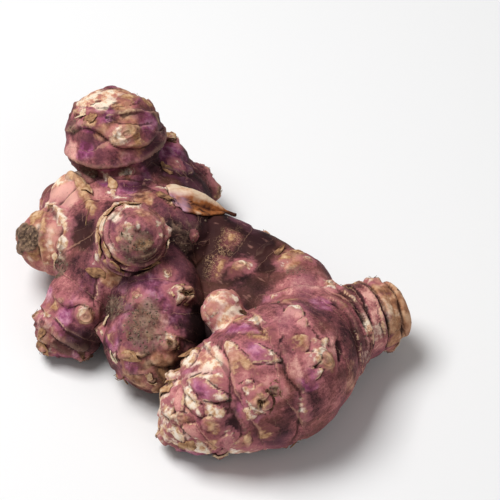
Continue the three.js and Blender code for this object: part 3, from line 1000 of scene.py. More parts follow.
class Relief:
    """The skin's points while it is sculpted: how far each is lifted, and its tones.

    The profiles give heights: of a leaf scar's lip across it, of a bud from its middle outwards, by
    kind, and of a fold from its lower layer to its upper one. A knob's rings fade out between the
    two distances beyond its own skin, and are full where a step between them is long enough. Each
    dent has a height, a size and a pattern, and a rib has a length and a width.
    """

    FAR = -6.0
    ASIDE = 2.5
    LIP_AT, LIP = (-5, -2.4, -0.5, 0.4, 1.3, 4), (0, 0.3, 1.0, -0.5, -0.3, 0)
    MOUND_AT = (0, 0.25, 0.5, 0.75, 1.05, 1.3, 1.9)
    MOUNDS = {FRESH: (1.15, 1.0, 0.75, 0.45, -0.05, -0.12, 0), WOODY: (0.75, 0.8, 0.85, 0.6, 0, -0.15, 0),
              HAIRY: (0.5, 0.65, 0.9, 0.65, 0, -0.12, 0)}
    LAP_AT, LAP = (-2.5, -0.8, -0.2, 0.5, 1.2), (0, -0.35, -0.3, 0.75, 0.7, 0)
    FADE = (0.3, 2.5)
    FULL_STEP = 9.0
    DENTS = ((0.8, 13, 1), (0.3, 6, 2), (0.1, 2.6, 3))
    RIB = (6.0, 1.5, 1.5)
    BUD_SCALES = 6
    BARE = {"rim": 0.0, "shadow_seam": 0.0, "hair": 0.0, "ring": 6.0, "eye": -1.0}

    def __init__(self, form: TuberForm, places: Array) -> None:
        """Starts with a bare skin.

        Args:
            form: the knobs grown together.
            places: the skin's points, one per row.
        """
        self.form = form
        self.places = places
        self.out = form.skin(places)[1]
        self.gaps = form.gaps(places)
        gaps = np.stack(list(self.gaps.values()))
        self.nearest = gaps.min(axis=0)
        self.grown = np.zeros_like(places)
        for knob, spine in enumerate(form.spines.values()):
            own = np.flatnonzero(gaps.argmin(axis=0) == knob)
            if len(own):
                along, turn, around = spine.stations(places[own])
                self.grown[own] = np.column_stack([along, around * np.cos(turn), around * np.sin(turn)])
        self.lift = np.zeros(len(places))
        bare = {tone.value: self.FAR if tone in HARD_TONES else 0.0 for tone in (*HARD_TONES, *SOFT_TONES)}
        self.marks = {name: np.full(len(places), value) for name, value in {**bare, **self.BARE}.items()}
        self.fine = rough(places, 1.6, 5)

    def near(self, point: Array, reach: float) -> Array:
        """Which points lie within reach of this one."""
        return np.flatnonzero(np.sum((self.places - point) ** 2, axis=1) < reach * reach)

    def deepen(self, name: str, at: Array, values: Array) -> None:
        """Raises a mark to these values, where they are larger."""
        self.marks[name][at] = np.maximum(self.marks[name][at], values)

    def tint(self, tone: Tone, at: Array, edge: Array, cut: Array, soft: float = 1.2) -> None:
        """Gives points a tone, in place of the ones that they had.

        Args:
            tone: which one.
            at: which points.
            edge: their distance inside the tone's edge.
            cut: their distance inside the patch that takes the place of older ones.
            soft: half the width over which a soft tone fades.
        """
        for other in (CREAM, TAN):
            held = self.marks[other.value]
            held[at] = np.minimum(held[at], np.maximum(-cut, self.FAR))
        for other in (VIOLET, PALE, BLUSH):
            self.marks[other.value][at] *= ease(1.0, -0.5, cut)
        if tone in SOFT_TONES:
            self.deepen(tone.value, at, ease(-soft, soft, edge))
        elif tone is not PLAIN:
            self.deepen(tone.value, at, edge)

    def unevenness(self) -> None:
        """Dents from large to small, and fine ribs that run with the growth."""
        for height, size, seed in self.DENTS:
            self.lift += height * rough(self.places, size, seed)
        self.lift += 0.04 * self.fine + 0.08 * rough(self.grown / self.RIB, 1.0, 14)

    def rings(self, name: str) -> None:
        """The scars of a knob's scale leaves: a lip on the root's side of each, a groove beyond it.

        Args:
            name: the knob.
        """
        spine = self.form.spines[name]
        knob = spine.knob
        over = self.gaps[name] - self.nearest
        at = np.flatnonzero(over < self.FADE[1])
        if not len(at) or not knob.nodes:
            return
        places = self.places[at]
        along, turn, around = spine.stations(places)
        share = 1 - ease(*self.FADE, over[at])
        wobble = 1.1 * rough(places, 9, 11) + 0.4 * rough(places, 3.5, 12)
        vigour = ease(-0.5, 0.7, rough(places, 8, 13))
        nearest = np.full(len(at), self.FULL_STEP)
        gaps = np.diff(knob.nodes)
        for j, node in enumerate(knob.nodes):
            room = min(gaps[max(j - 1, 0):j + 1], default=self.FULL_STEP)
            tight = min(1.0, room / self.FULL_STEP)
            arch = math.cos(math.radians(knob.turn + 90 * (j % 2)))
            bend = tight * (1.2 * np.cos(2 * turn - 2 * math.acos(arch)) + wobble)
            off = (along - node + bend) / max(tight, 0.35)
            lip = np.interp(off, self.LIP_AT, self.LIP)
            self.lift[at] += share * (0.3 + 0.7 * vigour) * knob.relief * (2.4 - 1.0 * tight) * lip
            closer = np.abs(off) < np.abs(nearest)
            nearest[closer] = off[closer]
        for j, (start, end) in enumerate(zip(knob.nodes, knob.nodes[1:])):
            middle = np.clip((along - start) / (end - start), 0, 1)
            self.lift[at] += share * 0.05 * around * np.sqrt(np.sin(math.pi * middle))
        nearest = nearest + np.sign(nearest) * 2.5 * (1 - share * vigour)
        held = self.marks["ring"]
        closer = np.abs(nearest) < np.abs(held[at])
        held[at[closer]] = nearest[closer]

    def bud(self, eye: Eye) -> None:
        """One bud: its mound, the moat round it, the brow over it and its tones.

        Args:
            eye: its place, size and kind.
        """
        spot = self.form.at(eye)
        at = self.near(spot.point, eye.radius * max(eye.wide, 1.0) * 2.4)
        ahead, side, out = spot.local(self.places[at])
        far = np.hypot(ahead / eye.radius, side / (eye.radius * eye.wide))
        far = far * (1 + 0.2 * rough(self.places[at], 1.1 * eye.radius, 21)) + ease(2, 4, out) * 9
        mound = np.interp(far, self.MOUND_AT, self.MOUNDS[eye.kind])
        brow = np.exp(-((far - 1.3) / 0.22) ** 2) * ease(0.0, 1.0, -ahead / eye.radius) * 0.3
        crumple = 0.16 * rough(self.places[at], 0.35 * eye.radius + 0.5, 27) * ease(1.05, 0.7, far)
        self.lift[at] += eye.height * (mound + brow + crumple)
        lean = rough(self.places[at], 0.8 * eye.radius, 25)
        inside = (1 - far) * eye.radius
        angle = math.radians(eye.pale)
        bright = (math.cos(angle) * ahead + math.sin(angle) * side) + 0.5 * eye.radius * lean
        self.tint(TAN, at, inside - 0.12 * eye.radius * (1 + 2.4 * lean), inside)
        self.deepen("cream", at, np.minimum(inside + 0.2 * eye.radius * lean, bright) - 0.1 * eye.radius)
        halo = ease(-0.9 * eye.radius, 0.0, inside) * ease(0.3, -0.3, inside)
        self.deepen("blush", at, 0.8 * halo * ease(-0.6, 0.6, bright / eye.radius))
        if eye.kind is FRESH:
            self.deepen("violet", at, halo * ease(0.2, -0.6, bright / eye.radius))
        if eye.kind is WOODY:
            self.deepen("eye", at, 1 - far)
        if eye.kind is HAIRY:
            centre = np.maximum(ease(0.5, 0.75, 1 - far), ease(0.1, 0.5, 1 - far + 0.4 * lean)
                                * ease(0.2, -0.5, bright / eye.radius))
            self.deepen("hair", at, centre)
            self.lift[at] += 0.4 * centre * self.fine[at]
        if eye.radius > 1.4 and eye.kind is not WOODY:
            self.bud_scales(eye, spot)

    def bud_scales(self, eye: Eye, spot: Spot) -> None:
        """The small scales that wrap a bud, their tips towards its middle.

        Args:
            eye: its size, and where its cream side faces.
            spot: its middle.
        """
        dice = np.random.default_rng(int(100 * (eye.along + 99)) + int(abs(eye.turn)))
        for k in range(self.BUD_SCALES):
            degrees = 360 / self.BUD_SCALES * (k + dice.uniform(-0.3, 0.3))
            angle = math.radians(degrees)
            arm = spot.headed(degrees).ahead
            reach = eye.radius * math.hypot(math.cos(angle), eye.wide * math.sin(angle))
            base = self.form.settled(spot.point + dice.uniform(0.8, 1.1) * reach * arm, -arm)
            bright = math.cos(angle - math.radians(eye.pale)) + dice.uniform(-0.7, 0.7)
            tone = CREAM if bright > 0.4 else TAN if bright > -0.4 else PLAIN
            self.patch(Flap(eye.knob, 0, 0, 0, dice.uniform(0.7, 1.1) * eye.radius,
                            dice.uniform(0.8, 1.3) * eye.radius, tone, 0.35 * eye.height,
                            dice.uniform(0.2, 0.8), 0.2), base.headed(dice.uniform(-30, 30)))

    def patch(self, flap: Flap, spot: Spot | None = None) -> None:
        """One pointed patch, its tip raised, its tone coming in from the base.

        Args:
            flap: its place, size and tone.
            spot: its base and direction, where they aren't the flap's own.
        """
        if spot is None:
            spot = self.form.at(flap).headed(flap.heading)
        at = self.near(spot.point, flap.length * 1.2 + flap.width)
        ahead, side, out = spot.local(self.places[at])
        reach = np.hypot(ahead, 0.5 * out) * np.sign(ahead)
        share = np.clip(reach / flap.length, 0, 1)
        half = flap.width / 2 * (1 - share ** (1.2 + 3 * flap.blunt)) ** (0.9 - 0.4 * flap.blunt)
        ragged = 0.4 * rough(self.places[at], 2.2, 22) + 0.18 * self.fine[at]
        sharp = np.minimum(half - np.abs(side), flap.length - reach) + ragged
        sharp = np.where((reach < -1.5) | (out < -5) | (out > self.ASIDE), self.FAR, sharp)
        edge = np.minimum(sharp, reach + 0.8)
        self.lift[at] += flap.rise * ease(-0.35, 0.55, edge) * (0.1 + 0.9 * share ** 1.2)
        self.lift[at] -= 0.3 * flap.rise * ease(-1.5, -0.5, edge) * ease(0.2, -0.4, edge) * share
        faded = reach / max(flap.soft * flap.length, 0.6) - 0.6 + 0.3 * ragged
        self.tint(flap.tone, at, np.minimum(sharp, faded), edge)
        if flap.tip is not PLAIN:
            self.deepen(flap.tip.value, at, np.minimum(sharp + 0.1, 0.5 * (reach - 0.72 * flap.length)))
        rise = ease(0.15, 0.5, share) * min(1.0, flap.rise)
        # Below a raised edge, a painted shadow line; along it, a pale papery rim.
        for name, where, wide, most in (("shadow_seam", -0.4, 0.45, 1.0), ("rim", 0.2, 0.4, 0.8)):
            self.marks[name][at] *= ease(0.6, -0.2, edge)
            self.deepen(name, at, most * rise * ease(wide, 0.1, np.abs(edge - where)))

    def course(self, line: Line) -> Array:
        """A line's course over the skin.

        Args:
            line: its knob and stops.

        Returns:
            Points, one per row.
        """
        count = len(line.stops)
        columns = np.array(line.stops, float).T
        return np.array([
            self.form.spot(line.knob, *(np.interp(t, range(count), column) for column in columns)).point
            for t in np.linspace(0, count - 1, 3 * (count - 1) + 1)])

    def beside(self, course: Array, reach: float) -> tuple[Array, Array, Array, Array]:
        """How points lie beside a course.

        Args:
            course: points on the skin, one per row.
            reach: how far from it to look.

        Returns:
            Which points, their distance from it, 1 on its left or -1, and how far along it, from 0 to 1.
        """
        middle = course.mean(axis=0)
        at = self.near(middle, reach + np.linalg.norm(course - middle, axis=1).max())
        places, outs = self.places[at], self.out[at]
        far, left, way = np.full(len(at), 99.0), np.ones(len(at)), np.zeros(len(at))
        for i, (start, end) in enumerate(zip(course, course[1:])):
            step = end - start
            share = np.clip((places - start) @ step / (step @ step + 1e-9), 0, 1)
            offset = places - start - share[:, None] * step
            gap = np.linalg.norm(offset, axis=1)
            closer = gap < far
            far[closer] = gap[closer]
            left[closer] = np.sign(np.sum(np.cross(outs, step) * offset, axis=1))[closer]
            way[closer] = ((i + share) / (len(course) - 1))[closer]
        return at, far, left, way

    def strip(self, band: Band) -> None:
        """One ridge or groove.

        Args:
            band: its course, size and tone.
        """
        at, far, _, _ = self.beside(self.course(band), 3 * band.width + 2)
        far = far + (0.3 + 0.25 * band.width) * rough(self.places[at], 3, 23)
        self.lift[at] += band.rise * ease(band.width * 1.7, 0, far)
        self.tint(band.tone, at, band.width - far, band.width - far, 0.5 * band.width)

    def lap(self, fold: Fold) -> None:
        """One edge where a layer of the skin laps over the next.

        Args:
            fold: its course and size.
        """
        at, far, left, way = self.beside(self.course(fold), fold.back + 2)
        places = self.places[at]
        off = far * left + 0.5 * rough(places, 4, 26) + 0.2 * rough(places, 1.7, 28)
        strength = np.sqrt(np.clip(np.minimum(way, 1 - way) * 6, 0, 1))
        self.lift[at] += fold.rise * strength * np.interp(off, (*self.LAP_AT, fold.back), self.LAP)
        broken = ease(-0.6, 0.2, rough(places, 5, 29)) * strength
        self.deepen("rim", at, ease(0.55, 0.15, np.abs(off - 0.35)) * broken * fold.rim)
        # The lower layer just below the edge gets a painted shadow line.
        deep = min(1.0, 0.5 + 0.5 * fold.rise)
        self.deepen("shadow_seam", at, ease(0.65, 0.15, np.abs(off + 0.35)) * strength * deep)

    def cloud(self, wash: Wash) -> None:
        """Soft clouds of one colour, each on its own knob and side.

        Args:
            wash: their places, sizes and tone.
        """
        for along, turn, radius, share in wash.spots:
            spot = self.form.spot(wash.knob, along, turn)
            at = self.near(spot.point, radius * 1.4)
            places = self.places[at]
            far = np.linalg.norm(places - spot.point, axis=1) * (1 + 0.45 * rough(places, 0.6 * radius, 24))
            own = ease(4, 2, self.gaps[wash.knob][at] - self.nearest[at])
            held = own * ease(-0.1, 0.4, self.out[at] @ spot.out)
            self.deepen(wash.tone.value, at, share * held * ease(radius, 0.4 * radius, far))


@dataclass
class TuberSkin:
    """The tuber's skin: knobs as spheres along their spines, remeshed, settled and sculpted.

    A crowd is a growing tip's overlapping scales: the knob, the first and last row's place along
    it, the step between rows, how many scales a row has, their rise, and the tones to draw from.

    Attributes:
        form: the knobs grown together.
        voxel: how fine the skin's mesh is.
        spacing: how far apart the spheres stand along a spine.
    """

    form: TuberForm
    voxel: float = 0.67
    spacing: float = 3.0

    SETTLING = 4
    EVENING = 9
    BALL = {"segments": 24, "ring_count": 16}
    SUNK = 0.97
    BURIED = 1.2
    LOWEST = 3.0
    CROWDS = (("main", 60, 87, 6, 4, 1.2, "cream cream tan blush violet plain"),
              ("heel", 20, 36, 6, 4, 0.6, "plain plain tan plain"),
              ("toe", 8, 20, 5, 3, 0.6, "plain violet plain tan"),
              ("crown", 12, 24, 5.5, 3, 0.5, "plain tan plain violet"))

    def block_out(self) -> Object:
        """Spheres along every spine, joined and remeshed to one closed skin.

        Returns:
            The skin.
        """
        balls = []
        for spine in self.form.spines.values():
            count = max(2, int(spine.length / self.spacing) + 1)
            centres, _, _, radii = spine.section(np.linspace(0, spine.length, count))
            for centre, radius in zip(centres, radii):
                deselect()
                bpy.ops.mesh.primitive_uv_sphere_add(
                    radius=radius * self.SUNK * MM, location=centre * MM, **self.BALL)
                balls.append(bpy.context.object)
        skin = joined(balls, "tuber_skin")
        remesh = skin.modifiers.new("one_skin", "REMESH")
        remesh.mode = "VOXEL"
        remesh.voxel_size = self.voxel * MM
        bpy.ops.object.modifier_apply(modifier=remesh.name)
        return skin

    def settled(self, skin: Object) -> Array:
        """Draws the skin's points onto the joined knobs.

        Args:
            skin: the remeshed skin.

        Returns:
            The points' new places.
        """
        places = coordinates(skin.data)
        for _ in range(self.SETTLING):
            gap, out = self.form.skin(places)
            places = places - np.clip(gap, -2, 2)[:, None] * out
        return places

    def hidden_buds(self) -> list[Eye]:
        """Buds at the nodes of the sides that the tables don't set out.

        Returns:
            The buds.
        """
        dice = np.random.default_rng(SEED)
        buds = []
        for name, spine in self.form.spines.items():
            knob = spine.knob
            for j, node in enumerate(knob.nodes):
                for turn in (knob.turn + 90 * (j % 2), knob.turn + 90 * (j % 2) + 180):
                    along, turn = node + dice.uniform(2, 3.5), turn + dice.uniform(-12, 12)
                    size = dice.uniform(1.7, 3.4)
                    kind = EyeKind(dice.choice([kind.value for kind in EyeKind]))
                    own, _ = spine.spot(along, turn)
                    spot = self.form.spot(name, along, turn)
                    open_air = np.linalg.norm(own - spot.point) < self.BURIED and spot.point[2] > self.LOWEST
                    if open_air and spot.out @ HAND_SIDE < 0.2:
                        buds.append(Eye(name, along, turn, size, size * dice.uniform(0.35, 0.6), kind))
        return buds

    def crowded_scales(self) -> list[Flap]:
        """Overlapping scales round the growing tips.

        Returns:
            The scales, the innermost rows first.
        """
        dice = np.random.default_rng(SEED + 2)
        flaps = []
        for name, first, last, step, count, rise, tones in self.CROWDS:
            spine = self.form.spines[name]
            for row, along in enumerate(np.arange(last, first, -step)):
                past = along + spine.knob.origin - spine.length
                around = spine.radii[-1] * math.cos(max(0.0, past / spine.radii[-1]))
                width = 2 * math.pi * max(around, 1.5) / count
                for k in range(count):
                    turn = (k + 0.5 * (row % 2)) * 360 / count + dice.uniform(-12, 12)
                    tone = Tone(dice.choice(tones.split()))
                    flap = Flap(name, along + dice.uniform(-1, 1), turn, dice.uniform(-25, 25),
                                dice.uniform(1.1, 1.5) * step, dice.uniform(0.85, 1.15) * width,
                                tone, rise * dice.uniform(0.6, 1.2), dice.uniform(0.2, 0.6), 0.8)
                    if name == "main" or self.form.spot(name, flap.along, flap.turn).out @ HAND_SIDE < 0.3:
                        flaps.append(flap)
        return flaps

    def sculpt(self, relief: Relief) -> None:
        """Every mark of growth on the skin.

        Args:
            relief: the bare skin.
        """
        relief.unevenness()
        for name in self.form.spines:
            relief.rings(name)
        for fold in FOLDS:
            relief.lap(fold)
        dice = np.random.default_rng(SEED + 1)
        for eye in self.hidden_buds():
            tone = Tone(dice.choice(["cream", "tan", "tan", "violet"]))
            relief.patch(Flap(eye.knob, eye.along - 3, eye.turn + dice.uniform(-15, 15),
                              dice.uniform(-25, 25), dice.uniform(4, 8), dice.uniform(4, 8), tone, 0.5))
            relief.bud(eye)
        for flap in self.crowded_scales():
            relief.patch(flap)
        for band in BANDS:
            relief.strip(band)
        for wash in WASHES:
            relief.cloud(wash)
        for flap in FLAPS:
            relief.patch(flap)
        for eye in EYES:
            relief.bud(eye)
        self.west_scar(relief)

    @staticmethod
    def west_scar(relief: Relief) -> None:
        """The rough corky end where the west knob broke from its stolon.

        Args:
            relief: the skin.
        """
        spot = relief.form.at(WEST_SCAR)
        at = relief.near(spot.point, WEST_SCAR.radius * 2.2)
        places = relief.places[at]
        ahead, side, _ = spot.local(places)
        edge = WEST_SCAR.radius - np.hypot(0.8 * ahead, side) + 2.0 * rough(places, 3.4, 31)
        relief.lift[at] += ease(-0.6, 0.8, edge) * (
            WEST_SCAR.height + 0.9 * rough(places, 2.1, 32) - 0.9 * ease(2.5, 5, edge))
        relief.tint(CORK, at, edge, edge)

    def build(self) -> Object:
        """Makes the skin.

        Returns:
            The finished piece.
        """
        skin = self.block_out()
        relief = Relief(self.form, self.settled(skin))
        self.sculpt(relief)
        places = relief.places + relief.lift[:, None] * relief.out
        places[:, 2] = np.maximum(places[:, 2], 0.0)
        set_coordinates(skin.data, places)
        self.record(skin, relief, places)
        return dressed(skin, SKIN_FINISH)

    def record(self, skin: Object, relief: Relief, places: Array) -> None:
        """Keeps the tones on the mesh, for the finish to read.

        Args:
            skin: the object that gets them.
            relief: the sculpted skin.
            places: its points after the sculpting.
        """
        mesh = skin.data
        gaps = np.stack(list(relief.gaps.values()))
        share = np.exp(-np.clip(gaps - relief.nearest, 0, 12) / 1.5)
        share = share / share.sum(axis=0)
        knobs = [spine.knob for spine in self.form.spines.values()]
        relief.deepen("tawny", np.arange(len(places)), share.T @ np.array([knob.tawny for knob in knobs]))
        set_attribute(mesh, "pink", share.T @ np.array([knob.pink for knob in knobs]))
        set_attribute(mesh, "hollow", self.hollows(mesh, places))
        for name, values in relief.marks.items():
            set_attribute(mesh, name, values)
        held = mesh.attributes.new("grown", "FLOAT_VECTOR", "POINT")
        held.data.foreach_set("vector", relief.grown.astype(np.float32).ravel())

    @staticmethod
    def hollows(mesh: Mesh, places: Array) -> Array:
        """How far each point lies below its surroundings.

        Args:
            mesh: the skin's mesh.
            places: its points.

        Returns:
            Depths, negative on crests.
        """
        a, b = numbers(mesh.edges, "vertices", 2, np.int32).T
        count = np.bincount(a, minlength=len(places)) + np.bincount(b, minlength=len(places))
        even = places.copy()
        for _ in range(TuberSkin.EVENING):
            total = np.column_stack([
                np.bincount(a, even[b, k], len(places)) + np.bincount(b, even[a, k], len(places))
                for k in range(3)])
            even = total / count[:, None]
        return np.sum((even - places) * numbers(mesh.vertices, "normal", 3), axis=1)


# ------------------------------------------------------------------ finishes

def linear(colour: str, light: float = 1.0) -> tuple[float, float, float, float]:
    """An sRGB hex colour as linear red, green, blue and alpha.

    Args:
        colour: six hex digits after a #.
        light: what to multiply it by.

    Returns:
        The four values.
    """
    parts = [int(colour[i:i + 2], 16) / 255 for i in (1, 3, 5)]
    parts = [p / 12.92 if p <= 0.04045 else ((p + 0.055) / 1.055) ** 2.4 for p in parts]
    return (*(p * light for p in parts), 1.0)


# The sockets of a colour Mix node, whose names its other kinds share.
SHARE, BELOW, ABOVE, MIXED = 0, 6, 7, 2


def add(tree: NodeTree, kind: str, inputs: dict | None = None, stops: tuple = (),
        **settings: object) -> Node:
    """Adds a node.

    Args:
        tree: where it goes.
        kind: its type, without the ShaderNode that every type starts with.
        inputs: for each input's name or number, a value, or the output that is linked to it.
        stops: a colour ramp's positions and colours.
        settings: the node's own settings.

    Returns:
        The node.
    """
    made = tree.nodes.new(f"ShaderNode{kind}")
    for name, value in settings.items():
        setattr(made, name, value)
    for name, value in (inputs or {}).items():
        if isinstance(value, NodeSocket):
            tree.links.new(value, made.inputs[name])
        else:
            made.inputs[name].default_value = value
    if stops:
        elements = made.color_ramp.elements
        while len(elements) < len(stops):
            elements.new(0.5)
        for element, (position, colour) in zip(elements, stops):
            element.position = position
            element.color = linear(colour)
    return made


@dataclass(frozen=True)
class Layer:
    """One colour laid over the skin where a mark of growth, or a pattern, asks for it.

    Attributes:
        mark: the mark or pattern that it follows.
        low: the mark's value where the colour begins.
        high: the mark's value where the colour is at its strongest.
        most: its share there.
        colours: one colour, or the positions and colours of a ramp.
        strays: the patterns that make the mark wander, and by how much.
        follows: the pattern that the ramp reads.
        line: the value that a line is drawn along; low and high are then distances from it.
        within: another mark that keeps it in.
    """

    mark: str
    low: float
    high: float
    most: float
    colours: str | tuple[tuple[float, str], ...]
    strays: tuple[tuple[str, float], ...] = ()
    follows: str = "blotch"
    line: float | None = None
    within: str = ""

    def over(self, tree: NodeTree, held: Sockets, colour: NodeSocket) -> NodeSocket:
        """Lays the colour over the one below it.

        Args:
            tree: where the nodes go.
            held: the marks and patterns.
            colour: the colour below.

        Returns:
            The mixed colour.
        """
        if isinstance(self.colours, str):
            own = linear(self.colours)
        else:
            own = add(tree, "ValToRGB", {"Fac": held[self.follows]}, stops=self.colours).outputs[0]
        value = held[self.mark]
        for name, weight in self.strays:
            half = add(tree, "Math", {0: held[name], 1: 0.5}, operation="SUBTRACT").outputs[0]
            value = add(tree, "Math", {0: half, 1: weight, 2: value}, operation="MULTIPLY_ADD").outputs[0]
        if self.line is not None:
            value = add(tree, "Math", {0: value, 1: self.line}, operation="SUBTRACT").outputs[0]
            value = add(tree, "Math", {0: value}, operation="ABSOLUTE").outputs[0]
        share = add(tree, "MapRange", {
            "Value": value, "From Min": self.low, "From Max": self.high, "To Max": self.most,
        }, interpolation_type="SMOOTHSTEP").outputs[0]
        if self.within:
            share = add(tree, "Math", {0: share, 1: held[self.within]}, operation="MULTIPLY").outputs[0]
        return add(tree, "Mix", {SHARE: share, BELOW: colour, ABOVE: own}, data_type="RGBA").outputs[MIXED]


@dataclass(frozen=True)
class Finish:
    """A material of nodes that end in a matt, slightly pitted surface."""

    name: str

    ROUGHNESS = 0.7
    SHEEN = 0.15
    PITS = 0.7
    PIT_DEPTH = 0.3

    def build(self) -> Material:
        """Makes the material.

        Returns:
            The material, with its nodes.
        """
        material = bpy.data.materials.new(self.name)
        material.use_nodes = True
        tree = material.node_tree
        tree.nodes.clear()
        colour, height = self.look(tree, add(tree, "TexCoord").outputs["Object"])
        bump = add(tree, "Bump", {
            "Height": height, "Strength": self.PITS, "Distance": self.PIT_DEPTH * MM}).outputs[0]
        shader = add(tree, "BsdfPrincipled", {
            "Base Color": colour, "Roughness": self.ROUGHNESS, "Specular IOR Level": self.SHEEN,
            "Normal": bump})
        add(tree, "OutputMaterial", {"Surface": shader.outputs[0]})
        return material

    def look(self, tree: NodeTree, place: NodeSocket) -> tuple[NodeSocket, NodeSocket]:
        """Adds nodes of its own for the surface's colour and height; place is each point's."""
        raise NotImplementedError


@dataclass(frozen=True)
class SkinFinish(Finish):
    """Fresh tuber skin: thin cork over pink flesh, washed after lifting.

    It is matt, mauve to purple-brown and uneven, with pale scars, earth left in its folds, and painted
    shade that darkens its grooves and folds.

    Attributes:
        layers: its colours, each over the last.
        sizes: each pattern's size and detail.
        weights: how much each mark and pattern lightens the first colour.
        grown: the streaks' length along the growth, and their width.
        shade_reach: how far the painted shade that darkens the folds reaches.
    """

    layers: tuple[Layer, ...]
    sizes: tuple[tuple[str, float, float], ...]
    weights: tuple[tuple[str, float], ...]
    grown: tuple[float, float] = (4.5, 1.3)
    shade_reach: float = 12.0

    FIRST = ((0.0, "#210F11"), (0.25, "#4A282D"), (0.5, "#80494C"), (0.72, "#B66F70"), (1.0, "#EBB0A2"))
    SHADE = "#1E0F0D"
    MARKS = ("pink", "tawny", "hollow", "cream", "tan", "cork", "violet", "soil", "dark", "blush",
             "lace", "pale", "ring", "eye", "hair", "shadow_seam", "rim")

    def patterns(self, tree: NodeTree, place: NodeSocket) -> Sockets:
        """Adds the marks kept on the skin, and the patterns between them.

        Args:
            tree: where the nodes go.
            place: where each point lies on the skin.

        Returns:
            Each by its name.
        """
        held = {name: add(tree, "Attribute", attribute_name=name).outputs["Fac"] for name in self.MARKS}
        for name, size, detail in self.sizes:
            held[name] = add(tree, "TexNoise", {
                "Vector": place, "Scale": 1 / (size * MM), "Detail": detail, "Roughness": 0.6}).outputs["Fac"]
        # Streaks that run with the growth, as the cork's own fibres do.
        grown = add(tree, "Attribute", attribute_name="grown").outputs["Vector"]
        length, width = self.grown
        drawn = add(tree, "Mapping", {
            "Vector": grown, "Scale": (1 / length, 1 / width, 1 / width)}).outputs[0]
        held["streak"] = add(tree, "TexNoise", {"Vector": drawn, "Scale": 1.0, "Detail": 3.0}).outputs["Fac"]
        # Circles of cork round an old bud, one for each season's wound.
        turns = add(tree, "Math", {0: held["blotch"], 1: 4.0}, operation="MULTIPLY").outputs[0]
        turns = add(tree, "Math", {0: held["eye"], 1: 15.0, 2: turns}, operation="MULTIPLY_ADD").outputs[0]
        held["circle"] = add(tree, "Math", {0: turns}, operation="SINE").outputs[0]
        held["bud"] = add(tree, "Math", {0: held["eye"], 1: 5.0}, operation="MULTIPLY",
                          use_clamp=True).outputs[0]
        return held

    def first(self, tree: NodeTree, held: Sockets) -> NodeSocket:
        """Adds the skin's own colour, from dark in its mottles to pink.

        Args:
            tree: where the nodes go.
            held: the marks and patterns.

        Returns:
            The colour.
        """
        tone = held["pink"]
        for name, weight in self.weights:
            tone = add(tree, "Math", {0: held[name], 1: weight, 2: tone}, operation="MULTIPLY_ADD").outputs[0]
        middle = sum(weight for name, weight in self.weights if name not in self.MARKS) / 2
        tone = add(tree, "Math", {0: tone, 1: middle}, operation="SUBTRACT").outputs[0]
        return add(tree, "ValToRGB", {"Fac": tone}, stops=self.FIRST).outputs[0]

    def look(self, tree: NodeTree, place: NodeSocket) -> tuple[NodeSocket, NodeSocket]:
        """Adds the skin's colours and its height.

        Args:
            tree: where the nodes go.
            place: where each point lies on the skin.

        Returns:
            The colour and the height.
        """
        held = self.patterns(tree, place)
        colour = self.first(tree, held)
        for layer in self.layers:
            colour = layer.over(tree, held, colour)
        # Painted shade: deep folds, with a little earth in them, are darkened almost black-brown where
        # ambient occlusion finds them.
        occlusion = add(tree, "AmbientOcclusion", {"Distance": self.shade_reach * MM}, samples=6).outputs["AO"]
        share = add(tree, "MapRange", {"Value": occlusion, "From Min": 0.72, "From Max": 0.2, "To Max": 0.8},
                    interpolation_type="SMOOTHSTEP").outputs[0]
        colour = add(tree, "Mix", {SHARE: share, BELOW: colour, ABOVE: linear(self.SHADE)},
                     data_type="RGBA").outputs[MIXED]
        # Grain, flecks, streaks and the buds' circles all pit the surface, so it keeps only a faint sheen.
        ripple = add(tree, "Math", {0: held["circle"], 1: held["bud"]}, operation="MULTIPLY").outputs[0]
        height = held["fleck"]
        for part, weight in ((held["grain"], 0.5), (held["streak"], 0.4), (ripple, 0.4)):
            height = add(tree, "Math", {0: part, 1: weight, 2: height}, operation="MULTIPLY_ADD").outputs[0]
        return colour, height


WANDER = (("blotch", 2.2), ("streak", 2.6), ("grain", 2.4))

